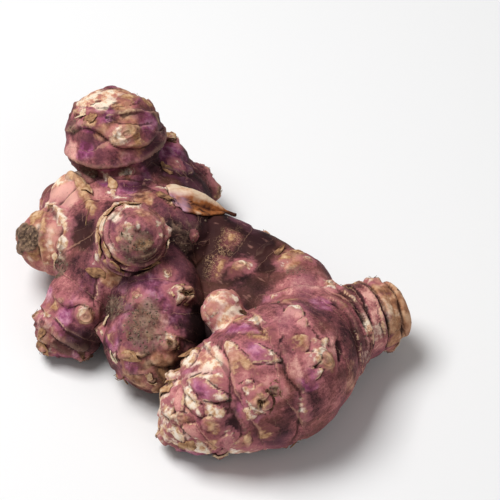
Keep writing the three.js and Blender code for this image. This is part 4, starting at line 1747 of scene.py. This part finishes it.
SKIN_FINISH = SkinFinish(
    name="tuber_cork_skin_washed",
    sizes=(("cloud", 10.0, 2.0), ("blotch", 3.6, 3.0), ("grain", 1.1, 4.0), ("drift", 17.0, 1.0),
           ("fleck", 2.1, 5.0), ("speck", 0.55, 2.0)),
    weights=(("cloud", 0.9), ("blotch", 0.45), ("grain", 0.55), ("speck", 0.3), ("streak", 0.35),
             ("dark", -0.55), ("blush", 0.45)),
    layers=(
        # The whole skin drifts between mauve and brown.
        Layer("drift", 0.5, 0.66, 0.4, "#8C5163"),
        Layer("drift", 0.48, 0.34, 0.35, "#8A5646"),
        # Cork that has browned in the sun: orange-tan where the pink has gone.
        Layer("tawny", 0.2, 0.8, 0.95, ((0.32, "#85573E"), (0.48, "#B98360"), (0.66, "#E0B590")),
              (("blotch", 0.8), ("streak", 0.6))),
        # Sap colour under thin new skin: magenta to plum.
        Layer("violet", 0.1, 1.0, 0.8, ((0.34, "#6B2C48"), (0.5, "#A04F7C"), (0.64, "#D795B4")),
              (("cloud", 0.8), ("blotch", 0.5))),
        # Skin scraped thin: a mottle of cream, peach and pink.
        Layer("pale", 0.2, 0.8, 0.95, ((0.36, "#BC7A6C"), (0.45, "#E5B592"), (0.53, "#F9E8CF")),
              (("blotch", 0.8), ("grain", 0.8))),
        # Dark wine brown: earth in unwashed hollows and darker skin, and also painted shade in hollows, under
        # the crown and beside raised buds.
        Layer("dark", 0.3, 0.95, 0.72, "#351A1D", (("blotch", 1.0), ("cloud", 0.6))),
        # Lenticels and stains: brown freckles, and fine dark and light lines along the growth.
        Layer("fleck", 0.57, 0.72, 0.5, "#4C2A27"),
        Layer("streak", 0.62, 0.76, 0.3, "#4A2829"),
        Layer("streak", 0.38, 0.26, 0.25, "#D79C8C"),
        Layer("speck", 0.66, 0.74, 0.5, "#3E2220"),
        # Old scale scars: dry tan tissue, stained at its edge, in a flush of pink.
        Layer("tan", -3.2, 0.5, 0.45, "#BF6F70", WANDER),
        Layer("tan", -1.0, 0.0, 0.4, "#684036", WANDER),
        Layer("tan", -0.5, 0.9, 0.93, ((0.34, "#7C5438"), (0.47, "#B5855B"), (0.62, "#DDB48A")),
              WANDER, "fleck"),
        Layer("tan", 1.0, 2.8, 0.5, "#EACDA8", WANDER),
        # Torn scales: bare cream tissue, blushed round its edge.
        Layer("cream", -3.0, 0.3, 0.55, "#CF8088", WANDER),
        Layer("cream", -0.9, 0.0, 0.3, "#85503F", WANDER),
        Layer("cream", -0.4, 0.8, 0.96, ((0.36, "#C08F68"), (0.46, "#E9C8A4"), (0.58, "#FAEBD8")),
              WANDER, "fleck"),
        # Buds: rings of cork, a dark point, or a tuft of fibres.
        Layer("circle", 0.1, 0.9, 0.5, "#6E452F", within="bud"),
        Layer("eye", 0.84, 0.97, 0.5, "#5A3627", (("grain", 0.5),)),
        Layer("hair", 0.3, 0.7, 0.9, ((0.36, "#3A241A"), (0.5, "#7A5236"), (0.64, "#BE9468")),
              (("grain", 1.6),), "grain"),
        # Skin torn to a lace of tan threads over the darker layer beneath.
        Layer("grain", 0.035, 0.012, 0.9, ((0.36, "#8A6248"), (0.6, "#D2AC82")),
              (("blotch", 0.3),), "fleck", 0.5, "lace"),
        # Papery edges of the scales, with a painted shadow line on the skin below them.
        Layer("rim", 0.3, 0.8, 0.85, ((0.36, "#B98D6C"), (0.5, "#E2BF98")),
              (("grain", 0.9), ("blotch", 0.8)), "grain"),
        Layer("shadow_seam", 0.3, 0.9, 0.8, "#3A1F1C", (("grain", 1.0), ("blotch", 0.8))),
        Layer("ring", 0.75, 0.3, 0.45, "#3E2322", (("grain", 1.0), ("blotch", 1.2)), line=0.4),
        Layer("ring", 0.6, 0.2, 0.35, "#D6A588", (("grain", 1.4), ("blotch", 1.6)), line=-0.7),
        # The broken end: dark, crumbling cork.
        Layer("cork", -0.2, 0.5, 1.0, ((0.3, "#241B18"), (0.5, "#5E493C"), (0.68, "#A08468")),
              (("grain", 1.6),), "grain"),
        # Earth left by the washing: a fine grey-brown crust in the hollows.
        Layer("soil", 0.3, 1.0, 0.7, ((0.34, "#3A2B24"), (0.48, "#6C5747"), (0.64, "#96806A")),
              (("grain", 1.2), ("blotch", 1.4)), "fleck"),
        # Grooves are darkened almost black, partly by earth and partly by painted shade; crests rub pale.
        Layer("hollow", 0.12, 0.7, 0.75, "#26130F"),
        Layer("hollow", -0.15, -0.7, 0.2, "#E3B69C"),
    ))


@dataclass(frozen=True)
class LeafFinish(Finish):
    """Dried scale leaf: papery and fibrous, cream where fresh and brown at its edges and tip.

    It reads the leaf's own map, whose length runs from base to tip. Its edges, its tip and its
    blotches run from pale over mid to dark.
    """

    pale: str
    mid: str
    dark: str
    blotch: float = 1.8

    ROUGHNESS = 0.75
    SHEEN = 0.2
    PITS = 0.6
    PIT_DEPTH = 0.15
    # Fibres 0.35 mm apart, on a leaf 5 mm wide.
    FIBRES = (5 / 0.35, 1.5, 1.0)
    LILAC = "#C79BB0"

    def look(self, tree: NodeTree, place: NodeSocket) -> tuple[NodeSocket, NodeSocket]:
        """Adds the leaf's fibres and colours.

        Args:
            tree: where the nodes go.
            place: where each point lies on the piece.

        Returns:
            The colour and the height.
        """
        along = add(tree, "UVMap").outputs[0]
        shade = add(tree, "Attribute", attribute_name="shade").outputs["Fac"]
        lilac = add(tree, "Attribute", attribute_name="lilac").outputs["Fac"]
        lined = add(tree, "Mapping", {"Vector": along, "Scale": self.FIBRES}).outputs[0]
        fibres = add(tree, "TexNoise", {"Vector": lined, "Scale": 1.0, "Detail": 3.0}).outputs["Fac"]
        blotch = add(tree, "TexNoise", {
            "Vector": place, "Scale": 1 / (self.blotch * MM), "Detail": 4.0}).outputs["Fac"]
        # Dry tissue browns in blotches and between its fibres, where it is thinnest.
        tone = shade
        for part, weight in ((fibres, 0.5), (blotch, 1.1)):
            tone = add(tree, "Math", {0: part, 1: weight, 2: tone}, operation="MULTIPLY_ADD").outputs[0]
        tone = add(tree, "Math", {0: tone, 1: 0.8}, operation="SUBTRACT").outputs[0]
        colour = add(tree, "ValToRGB", {"Fac": tone}, stops=(
            (0.1, self.dark), (0.45, self.mid), (0.85, self.pale))).outputs[0]
        colour = add(tree, "Mix", {SHARE: lilac, BELOW: colour, ABOVE: linear(self.LILAC)},
                     data_type="RGBA").outputs[MIXED]
        return colour, fibres


SCALE_FINISH = LeafFinish("scale_leaf_dried_papery", "#EBD3B2", "#BC8E66", "#56382C")
DRIED_LEAF_FINISH = LeafFinish("leaf_base_dried_curled", "#E8CDB0", "#B8713F", "#4A2518", blotch=3.0)


@dataclass(frozen=True)
class EarthFinish(Finish):
    """Dried field soil or root fibre: matt, with light and dark grains of a greyish brown."""

    light: str
    dark: str
    grain: float = 0.7

    ROUGHNESS = 0.9
    SHEEN = 0.1
    PITS = 0.8
    PIT_DEPTH = 0.2

    def look(self, tree: NodeTree, place: NodeSocket) -> tuple[NodeSocket, NodeSocket]:
        """Adds its grains, which are both its colour and its height.

        Args:
            tree: where the nodes go.
            place: where each point lies on the piece.

        Returns:
            The colour and the height.
        """
        grain = add(tree, "TexNoise", {
            "Vector": place, "Scale": 1 / (self.grain * MM), "Detail": 4.0}).outputs["Fac"]
        ramp = add(tree, "ValToRGB", {"Fac": grain}, stops=((0.3, self.dark), (0.7, self.light)))
        return ramp.outputs[0], grain


SOIL_FINISH = EarthFinish("field_soil_dried", "#8E7B6A", "#43342A")
ROOTLET_FINISH = EarthFinish("root_fibre_dried", "#B08E68", "#5A4230")


# ------------------------------------------------------------------ leaves, rootlets and soil

@dataclass(frozen=True)
class Leaf(Place):
    """One dried scale leaf that still stands on the skin.

    Attributes:
        heading: where it points, in degrees to the left of the growth.
        length: from base to tip.
        width: across its widest part.
        curl: how far its tip stands off the skin.
        shade: 0 for brown, 1 for cream.
    """

    heading: float
    length: float
    width: float
    curl: float = 1.0
    shade: float = 0.4


# Rows: along, turn, heading, length, width, curl, shade.
LEAVES = by_knob(Leaf, {
    "crown": ((10.4, -31, -140, 4.5, 4.5, 0.5, 0.3), (12.2, -40, 168, 4, 2.8, 1, 0.8)),
    "hub": ((3, 4, 190, 5, 3, 1.3, 0.5),),
    "hub_east": ((15, -20, -75, 7, 3, 1.2, 0.3),),
    "main": ((63, 33, -30, 8, 4, 1.4, 0.3), (78, -70, -10, 5, 4, 1.3), (75, 25, 0, 5, 4, 1.4, 0.5)),
    "heel": ((24.5, 42, 75, 7, 3.4, 1.4), (25.7, 66, 119, 4, 2, 1.5, 0.85), (31, 14, 13, 4, 2.4, 1.2, 0.6),
        (37, 22, 115, 3.4, 2.2, 1, 0.6), (29, -12, 10, 5, 4, 1.2, 0.25)),
    "toe_root": ((8, -25, -60, 6, 3.5, 1.4, 0.3),),
    "toe": ((13, -68, 60, 5, 2.2, 1.6, 0.1), (13, 20, 0, 4, 3, 0.8, 0.3)),
    "button": ((11, -130, 10, 4.5, 9, 0.9), (10, -80, 0, 4.5, 10, 1.1, 0.45),
        (10, -25, -10, 4.5, 9, 1.1, 0.35), (14, -55, 0, 3.5, 6, 0.5, 0.5), (16, -165, 0, 4, 6, 0.7, 0.6),
        (12, 40, 0, 4, 7, 0.7, 0.25)),
    "west": ((7, -60, 130, 5, 2.4, 1, 0.7),),
    "north_west": ((16, 12, 160, 8, 3, 0.8, 0.5),),
    "east": ((3, 36, 60, 6, 3, 0.8, 0.25),),
    "side_bud": ((11, 35, 20, 4, 2.4, 0.9, 0.2),),
    "bridge": ((31, -8, 100, 5, 2.4, 0.8, 0.3),),
})


def feet_on(surface: BVHTree, places: Array) -> tuple[Array, Array]:
    """The surface's nearest points to these, and the ways out of it there, one per row."""
    feet, outs, _, _ = zip(*(surface.find_nearest(Vector(place * MM)) for place in places))
    return np.array(feet) / MM, np.array(outs)


@dataclass
class LeafCutter:
    """Cuts leaves of one thickness from a flat grid and lays them on the sculpted skin."""

    surface: BVHTree
    thickness: float = 0.22

    @staticmethod
    def blank() -> Object:
        """A flat grid with a map.

        Returns:
            The grid, of side 1.
        """
        deselect()
        bpy.ops.mesh.primitive_grid_add(x_subdivisions=6, y_subdivisions=9, size=1.0)
        return bpy.context.object

    @staticmethod
    def parts(piece: Object) -> tuple[Array, Array, Array]:
        """A grid's points, each one's share across it, -1 to 1, and from base to tip, 0 to 1."""
        flat = coordinates(piece.data) * MM
        return flat, flat[:, 0] * 2, flat[:, 1] + 0.5

    @staticmethod
    def thicken(piece: Object, thickness: float) -> None:
        """Gives a leaf its thickness.

        Args:
            piece: the leaf.
            thickness: how thick it becomes.
        """
        solid = piece.modifiers.new("thickness", "SOLIDIFY")
        solid.thickness = thickness * MM
        solid.offset = 0.0
        chosen(piece)
        bpy.ops.object.modifier_apply(modifier=solid.name)

    def rested(self, places: Array, clear: float) -> Array:
        """Moves points that lie in the skin out of it.

        Args:
            places: points, one per row.
            clear: how far off the skin they come to lie.

        Returns:
            The points.
        """
        feet, outs = feet_on(self.surface, places)
        short = np.maximum(clear - np.sum((places - feet) * outs, axis=1), 0)
        return places + short[:, None] * outs

    def lay(self, blank: Object, spot: Spot, leaf: Leaf, seed: int) -> Object:
        """One leaf, laid on the skin from its base, its tip and edges lifted.

        Args:
            blank: the flat grid.
            spot: where its base is and where it points.
            leaf: its sizes.
            seed: which ragged edge.

        Returns:
            The leaf.
        """
        piece = copy_of(blank)
        _, across, share = self.parts(piece)
        rim = np.column_stack([share * 5, np.sign(across), np.full(len(share), seed)])
        torn = 1 + 0.35 * rough(rim, 1.0, seed)
        half = leaf.width / 2 * (0.7 + 0.3 * ease(0, 0.3, share)) * (1 - share ** 2.2) ** 0.75 * torn
        places = (spot.point + (share * leaf.length)[:, None] * spot.ahead
                  + (across * half)[:, None] * spot.side)
        lift = 0.05 + leaf.curl * share ** 2 + 0.25 * across ** 2 * share + 0.12 * rough(places, 1.5, seed)
        feet, outs = feet_on(self.surface, places)
        laid = feet + lift[:, None] * outs
        laid[:, 2] = np.maximum(laid[:, 2], self.thickness)
        set_coordinates(piece.data, laid)
        self.thicken(piece, self.thickness)
        set_attribute(piece.data, "shade", np.full(len(piece.data.vertices), leaf.shade))
        return piece


@dataclass
class ScaleLeaves:
    """The dried scale leaves that still stand on the nodes, and at some of the hidden buds."""

    form: TuberForm
    cutter: LeafCutter
    buds: list[Eye]

    ROUND_BUD = 3
    KEPT = 0.6

    def round_bud(self, eye: Eye, dice: Dice) -> list[tuple[Spot, Leaf]]:
        """The small leaves that wrap a bud, their tips towards its middle.

        Args:
            eye: the bud.
            dice: the random source.

        Returns:
            Each leaf and where it lies.
        """
        spot = self.form.at(eye)
        leaves = []
        for _ in range(self.ROUND_BUD):
            degrees = dice.uniform(0, 360)
            angle = math.radians(degrees)
            arm = spot.headed(degrees).ahead
            reach = eye.radius * math.hypot(math.cos(angle), eye.wide * math.sin(angle))
            base = self.form.settled(spot.point + reach * arm, -arm).headed(dice.uniform(-50, 50))
            bright = math.cos(angle - math.radians(eye.pale))
            leaves.append((base, Leaf(eye.knob, 0, 0, 0, dice.uniform(0.5, 0.9) * eye.radius,
                                      dice.uniform(0.4, 0.8) * eye.radius, dice.uniform(0.3, 0.8),
                                      0.35 + 0.35 * bright)))
        return leaves

    def build(self) -> Object:
        """Makes the leaves, as one piece.

        Returns:
            The finished piece.
        """
        dice = np.random.default_rng(SEED + 3)
        leaves = list(LEAVES)
        for eye in self.buds:
            if dice.random() < self.KEPT:
                leaves.append(Leaf(eye.knob, eye.along - 3.5, eye.turn + dice.uniform(-20, 20),
                                   dice.uniform(-30, 30), dice.uniform(3.5, 6), dice.uniform(2.5, 5),
                                   dice.uniform(0.6, 1.5), dice.random()))
        blank = self.cutter.blank()
        laid = [(self.form.at(leaf).headed(leaf.heading), leaf) for leaf in leaves]
        for eye in EYES:
            if eye.radius > 2 and eye.kind is not WOODY:
                laid += self.round_bud(eye, dice)
        pieces = [self.cutter.lay(blank, spot, leaf, i) for i, (spot, leaf) in enumerate(laid)]
        bpy.data.objects.remove(blank)
        return dressed(joined(pieces, "scale_leaves"), SCALE_FINISH)


@dataclass
class DriedLeaf:
    """The large dried leaf base east of the button: a curled hood with a hooked tip.

    Attributes:
        cutter: makes the blank and gives it thickness.
        base: the middle of its base.
        tip: its hooked tip.
        crown: the way in which it bulges.
        width: across its base.
        hood: how far its back stands above its edges.
        thickness: how thick it is.
    """

    cutter: LeafCutter
    base: tuple[float, float, float] = (-14.5, 22.4, 34.4)
    tip: tuple[float, float, float] = (7.4, 25.2, 21.6)
    crown: tuple[float, float, float] = (0.1, 0.0, 1.0)
    width: float = 13.0
    hood: float = 2.8
    thickness: float = 0.6

    # Profiles from base to tip: its half width's share, its hood's, and the height of its keel.
    HALF_AT, HALF = (0, 0.15, 0.45, 0.7, 0.85, 1), (0.75, 1.0, 0.9, 0.55, 0.22, 0.05)
    HOOD_AT, HOOD = (0, 0.3, 0.7, 1), (0.4, 1.0, 0.6, 0.0)
    KEEL_AT, KEEL = (0, 0.5, 0.85, 1), (0, 1.0, -0.2, 1.2)
    # Across it: the back rolls over like a hood; the near half dips to a hollow and ends in a raised rim.
    BULGE_AT, BULGE = (-1, -0.85, -0.35, 0.15, 0.5, 1), (0.45, 0.5, -0.35, 0.95, 1.0, 0.1)

    def blank(self) -> Object:
        """The cutter's grid, cut finer.

        Returns:
            The grid.
        """
        blank = self.cutter.blank()
        chosen(blank)
        bpy.ops.object.mode_set(mode="EDIT")
        bpy.ops.mesh.subdivide(number_cuts=3)
        bpy.ops.object.mode_set(mode="OBJECT")
        return blank

    def build(self) -> Object:
        """Makes the leaf.

        Returns:
            The finished piece.
        """
        blank = self.blank()
        flat, across, share = self.cutter.parts(blank)
        base, tip = np.array(self.base), np.array(self.tip)
        length = np.linalg.norm(tip - base)
        ahead = (tip - base) / length
        side = unit(np.cross(self.crown, ahead))
        up = np.cross(ahead, side)
        torn = 1 + 0.3 * rough(np.column_stack([share * 7, np.sign(across), share * 0]), 1.0, 41)
        half = self.width / 2 * np.interp(share, self.HALF_AT, self.HALF) * torn
        bulge = np.interp(across, self.BULGE_AT, self.BULGE) * np.interp(share, self.HOOD_AT, self.HOOD)
        rise = self.hood * bulge + np.interp(share, self.KEEL_AT, self.KEEL) + 0.5 * rough(flat * 6, 1.0, 42)
        places = (base + (share * length)[:, None] * ahead + (across * half)[:, None] * side
                  + rise[:, None] * up)
        set_coordinates(blank.data, self.cutter.rested(places, self.thickness))
        self.cutter.thicken(blank, self.thickness)
        self.record(blank.data, ahead / length, side / (self.width / 2))
        return dressed(joined([blank], "dried_leaf"), DRIED_LEAF_FINISH)

    def record(self, mesh: Mesh, ahead: Array, side: Array) -> None:
        """Keeps the leaf's shade on its mesh: brown towards the tip and rim, lilac inside the base.

        Args:
            mesh: the leaf's mesh.
            ahead: from base to tip, over the leaf's length.
            side: across the leaf, over its half width.
        """
        places = coordinates(mesh)
        run, over = (places - self.base) @ ahead, (places - self.base) @ side
        shade = 0.6 * ease(-0.15, 0.25, over) + 0.25 * ease(-0.6, -0.85, over) - 0.7 * ease(0.75, 1.0, run)
        set_attribute(mesh, "shade", shade + 0.2)
        mottle = 0.5 + 0.5 * rough(places, 2.2, 43)
        set_attribute(mesh, "lilac", ease(0.34, 0.12, run) * ease(0.5, -0.1, over) * mottle)


@dataclass
class Rootlets:
    """Fine dried roots that lie on the skin: a tuft on each hairy bud, and a few strays."""

    form: TuberForm
    surface: BVHTree
    buds: list[Eye]
    radius: float = 0.13

    STEPS = 8
    TUFT = 6
    STRAYS = 2
    STRAYS_ON = ("main", "heel", "hub", "toe", "rear", "shoulder")

    def strand(self, spot: Spot, length: float, stray: float, lift: float, dice: Dice) -> Array:
        """One root's course over the skin.

        Args:
            spot: where it starts and where it heads.
            length: how long it is.
            stray: how far it turns at each step.
            lift: how far its end stands off the skin.
            dice: the random source.

        Returns:
            Its points, one per row.
        """
        place, ahead, course = spot.point, spot.ahead, []
        for k in range(self.STEPS):
            (place,), (out,) = feet_on(self.surface, place[None])
            course.append(place + (0.05 + lift * (k / self.STEPS) ** 2) * out)
            course[-1][2] = max(course[-1][2], 1.5 * self.radius)
            angle = math.radians(dice.uniform(-stray, stray))
            ahead = math.cos(angle) * ahead + math.sin(angle) * np.cross(out, ahead)
            ahead = unit(ahead - (ahead @ out) * out)
            place = place + ahead * length / self.STEPS
        return np.array(course)

    def courses(self) -> list[Array]:
        """The courses of all the roots.

        Returns:
            The points of each.
        """
        dice = np.random.default_rng(SEED + 4)
        courses = []
        for eye in self.buds:
            if eye.kind is HAIRY:
                for _ in range(self.TUFT):
                    spot = self.form.spot(
                        eye.knob, eye.along + dice.uniform(-1, 1), eye.turn + dice.uniform(-6, 6))
                    courses.append(self.strand(spot.headed(dice.uniform(-180, 180)), dice.uniform(1.2, 3), 35,
                                               dice.uniform(0.3, 1.2), dice))
        for name in self.STRAYS_ON:
            spine = self.form.spines[name]
            for _ in range(self.STRAYS):
                spot = self.form.spot(name, dice.uniform(0, spine.length), dice.uniform(-180, 180))
                courses.append(self.strand(spot.headed(dice.uniform(-180, 180)), dice.uniform(4, 9), 30,
                                           dice.uniform(0, 1.5), dice))
        return courses

    def build(self) -> Object:
        """Makes the roots, as one piece.

        Returns:
            The finished piece.
        """
        curve = bpy.data.curves.new("rootlets", "CURVE")
        curve.dimensions = "3D"
        curve.bevel_depth = self.radius * MM
        curve.bevel_resolution = 1
        curve.use_fill_caps = True
        for course in self.courses():
            spline = curve.splines.new("POLY")
            spline.points.add(len(course) - 1)
            for point, place, width in zip(spline.points, course, np.linspace(1.3, 0.5, len(course))):
                point.co = (*(place * MM), 1.0)
                point.radius = width
        roots = bpy.data.objects.new("rootlets", curve)
        bpy.context.collection.objects.link(roots)
        chosen(roots)
        bpy.ops.object.convert(target="MESH")
        return dressed(joined([bpy.context.object], "rootlets"), ROOTLET_FINISH)


@dataclass
class SoilCrumbs:
    """Crumbs of earth in the folds and on the soiled patches, where the skin's marks say it clings."""

    skin: Object
    count: int = 620
    radii: tuple[float, float] = (0.14, 0.5)

    def likely(self) -> Array:
        """How likely a crumb is at each point of the skin.

        Returns:
            The chances, which add up to 1.
        """
        soil, hollow = (numbers(self.skin.data.attributes[name].data, "value", 1)[:, 0].astype(float)
                        for name in ("soil", "hollow"))
        chance = 0.5 * ease(0.35, 0.9, soil) + 0.35 * ease(0.5, 1.2, hollow) + 0.002
        return chance / chance.sum()

    def build(self) -> Object:
        """Makes the crumbs, as one piece.

        Returns:
            The finished piece.
        """
        dice = np.random.default_rng(SEED + 5)
        places = coordinates(self.skin.data)
        picked = dice.choice(len(places), self.count, p=self.likely())
        deselect()
        bpy.ops.mesh.primitive_ico_sphere_add(subdivisions=1, radius=1.0)
        ball = bpy.context.object
        shape = coordinates(ball.data) * MM
        pieces = []
        for i, at in enumerate(picked):
            crumb = copy_of(ball)
            size = dice.uniform(*self.radii) * dice.uniform(0.6, 1.0)
            lumpy = shape * (1 + 0.35 * rough(shape + 9.0 * i, 0.9, 51))[:, None] * dice.uniform(0.6, 1.2, 3)
            where = places[at] + size * lumpy
            where[:, 2] = np.maximum(where[:, 2], 0.0)
            set_coordinates(crumb.data, where)
            pieces.append(crumb)
        bpy.data.objects.remove(ball)
        return dressed(joined(pieces, "soil_crumbs"), SOIL_FINISH)


# ------------------------------------------------------------------ stage

@dataclass(frozen=True)
class Stage:
    """A white floor, soft studio light, and a camera that looks down at its target.

    Attributes:
        width: how wide the picture is at the target.
        lights: each light's name, its place and the length of its side in metres, and its watts.
        daylight: how strong the light from all sides is.
    """

    target: tuple[float, float, float] = (12.5, 29.0, 0.0)
    distance: float = 800.0
    elevation: float = 50.0
    width: float = 170.0
    sensor: float = 36.0
    lights: tuple[tuple[str, tuple[float, float, float], float, float], ...] = (
        ("key", (-0.35, 0.1, 0.9), 0.45, 8.9), ("fill", (0.5, -0.6, 0.5), 0.8, 1.1))
    daylight: float = 0.2

    @staticmethod
    def floor() -> None:
        """Adds the floor."""
        deselect()
        bpy.ops.mesh.primitive_plane_add(size=6.0, location=(0, 0, 0))
        floor = bpy.context.object
        floor.name = "floor"
        # White paper: it throws the light back evenly, and shows no sheen.
        material = bpy.data.materials.new("white_paper_floor")
        material.use_nodes = True
        shader = material.node_tree.nodes["Principled BSDF"]
        shader.inputs["Base Color"].default_value = (0.9, 0.9, 0.9, 1)
        shader.inputs["Roughness"].default_value = 0.9
        floor.data.materials.append(material)

    def camera(self) -> None:
        """Adds the camera."""
        angle = math.radians(self.elevation)
        place = np.array(self.target) + self.distance * np.array([0, -math.cos(angle), math.sin(angle)])
        bpy.ops.object.camera_add(location=place * MM, rotation=(math.pi / 2 - angle, 0, 0))
        camera = bpy.context.object
        camera.data.sensor_width = self.sensor
        camera.data.lens = self.sensor * self.distance / self.width
        camera.data.clip_start = 0.01
        bpy.context.scene.camera = camera

    def build(self) -> None:
        """Adds the floor, the lights, the world and the camera."""
        self.floor()
        world = bpy.data.worlds.new("studio")
        world.use_nodes = True
        sky = world.node_tree.nodes["Background"]
        sky.inputs["Color"].default_value = (1, 1, 1, 1)
        sky.inputs["Strength"].default_value = self.daylight
        bpy.context.scene.world = world
        for light in self.lights:
            self.light(*light)
        self.camera()
        bpy.context.scene.view_settings.view_transform = "Standard"

    @staticmethod
    def light(name: str, place: tuple[float, float, float], size: float, power: float) -> None:
        """Adds a soft square light that faces the tuber.

        Args:
            name: the light's name.
            place: where it stands, in metres.
            size: the length of its side, in metres.
            power: its power, in watts.
        """
        bpy.ops.object.light_add(type="AREA", location=place)
        lamp = bpy.context.object
        lamp.name = name
        lamp.data.size = size
        lamp.data.energy = power
        lamp.rotation_euler = (-lamp.location).to_track_quat("-Z", "Y").to_euler()


def main() -> None:
    """Builds the stage and every piece in order, and logs each piece."""
    logging.basicConfig(level=logging.INFO, format="%(name)s: %(message)s")
    Stage().build()
    form = TuberForm(KNOBS)
    skin_maker = TuberSkin(form)
    skin = skin_maker.build()
    surface = BVHTree.FromObject(skin, bpy.context.evaluated_depsgraph_get())
    cutter = LeafCutter(surface)
    hidden = skin_maker.hidden_buds()
    pieces = [skin, ScaleLeaves(form, cutter, hidden).build(), DriedLeaf(cutter).build(),
              Rootlets(form, surface, [*EYES, *hidden]).build(), SoilCrumbs(skin).build()]
    for piece in pieces:
        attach(piece, BODY)
        LOG.info("%s: %d triangles", piece.name, triangles(piece))
    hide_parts(NODE)


if __name__ == "__main__":
    main()
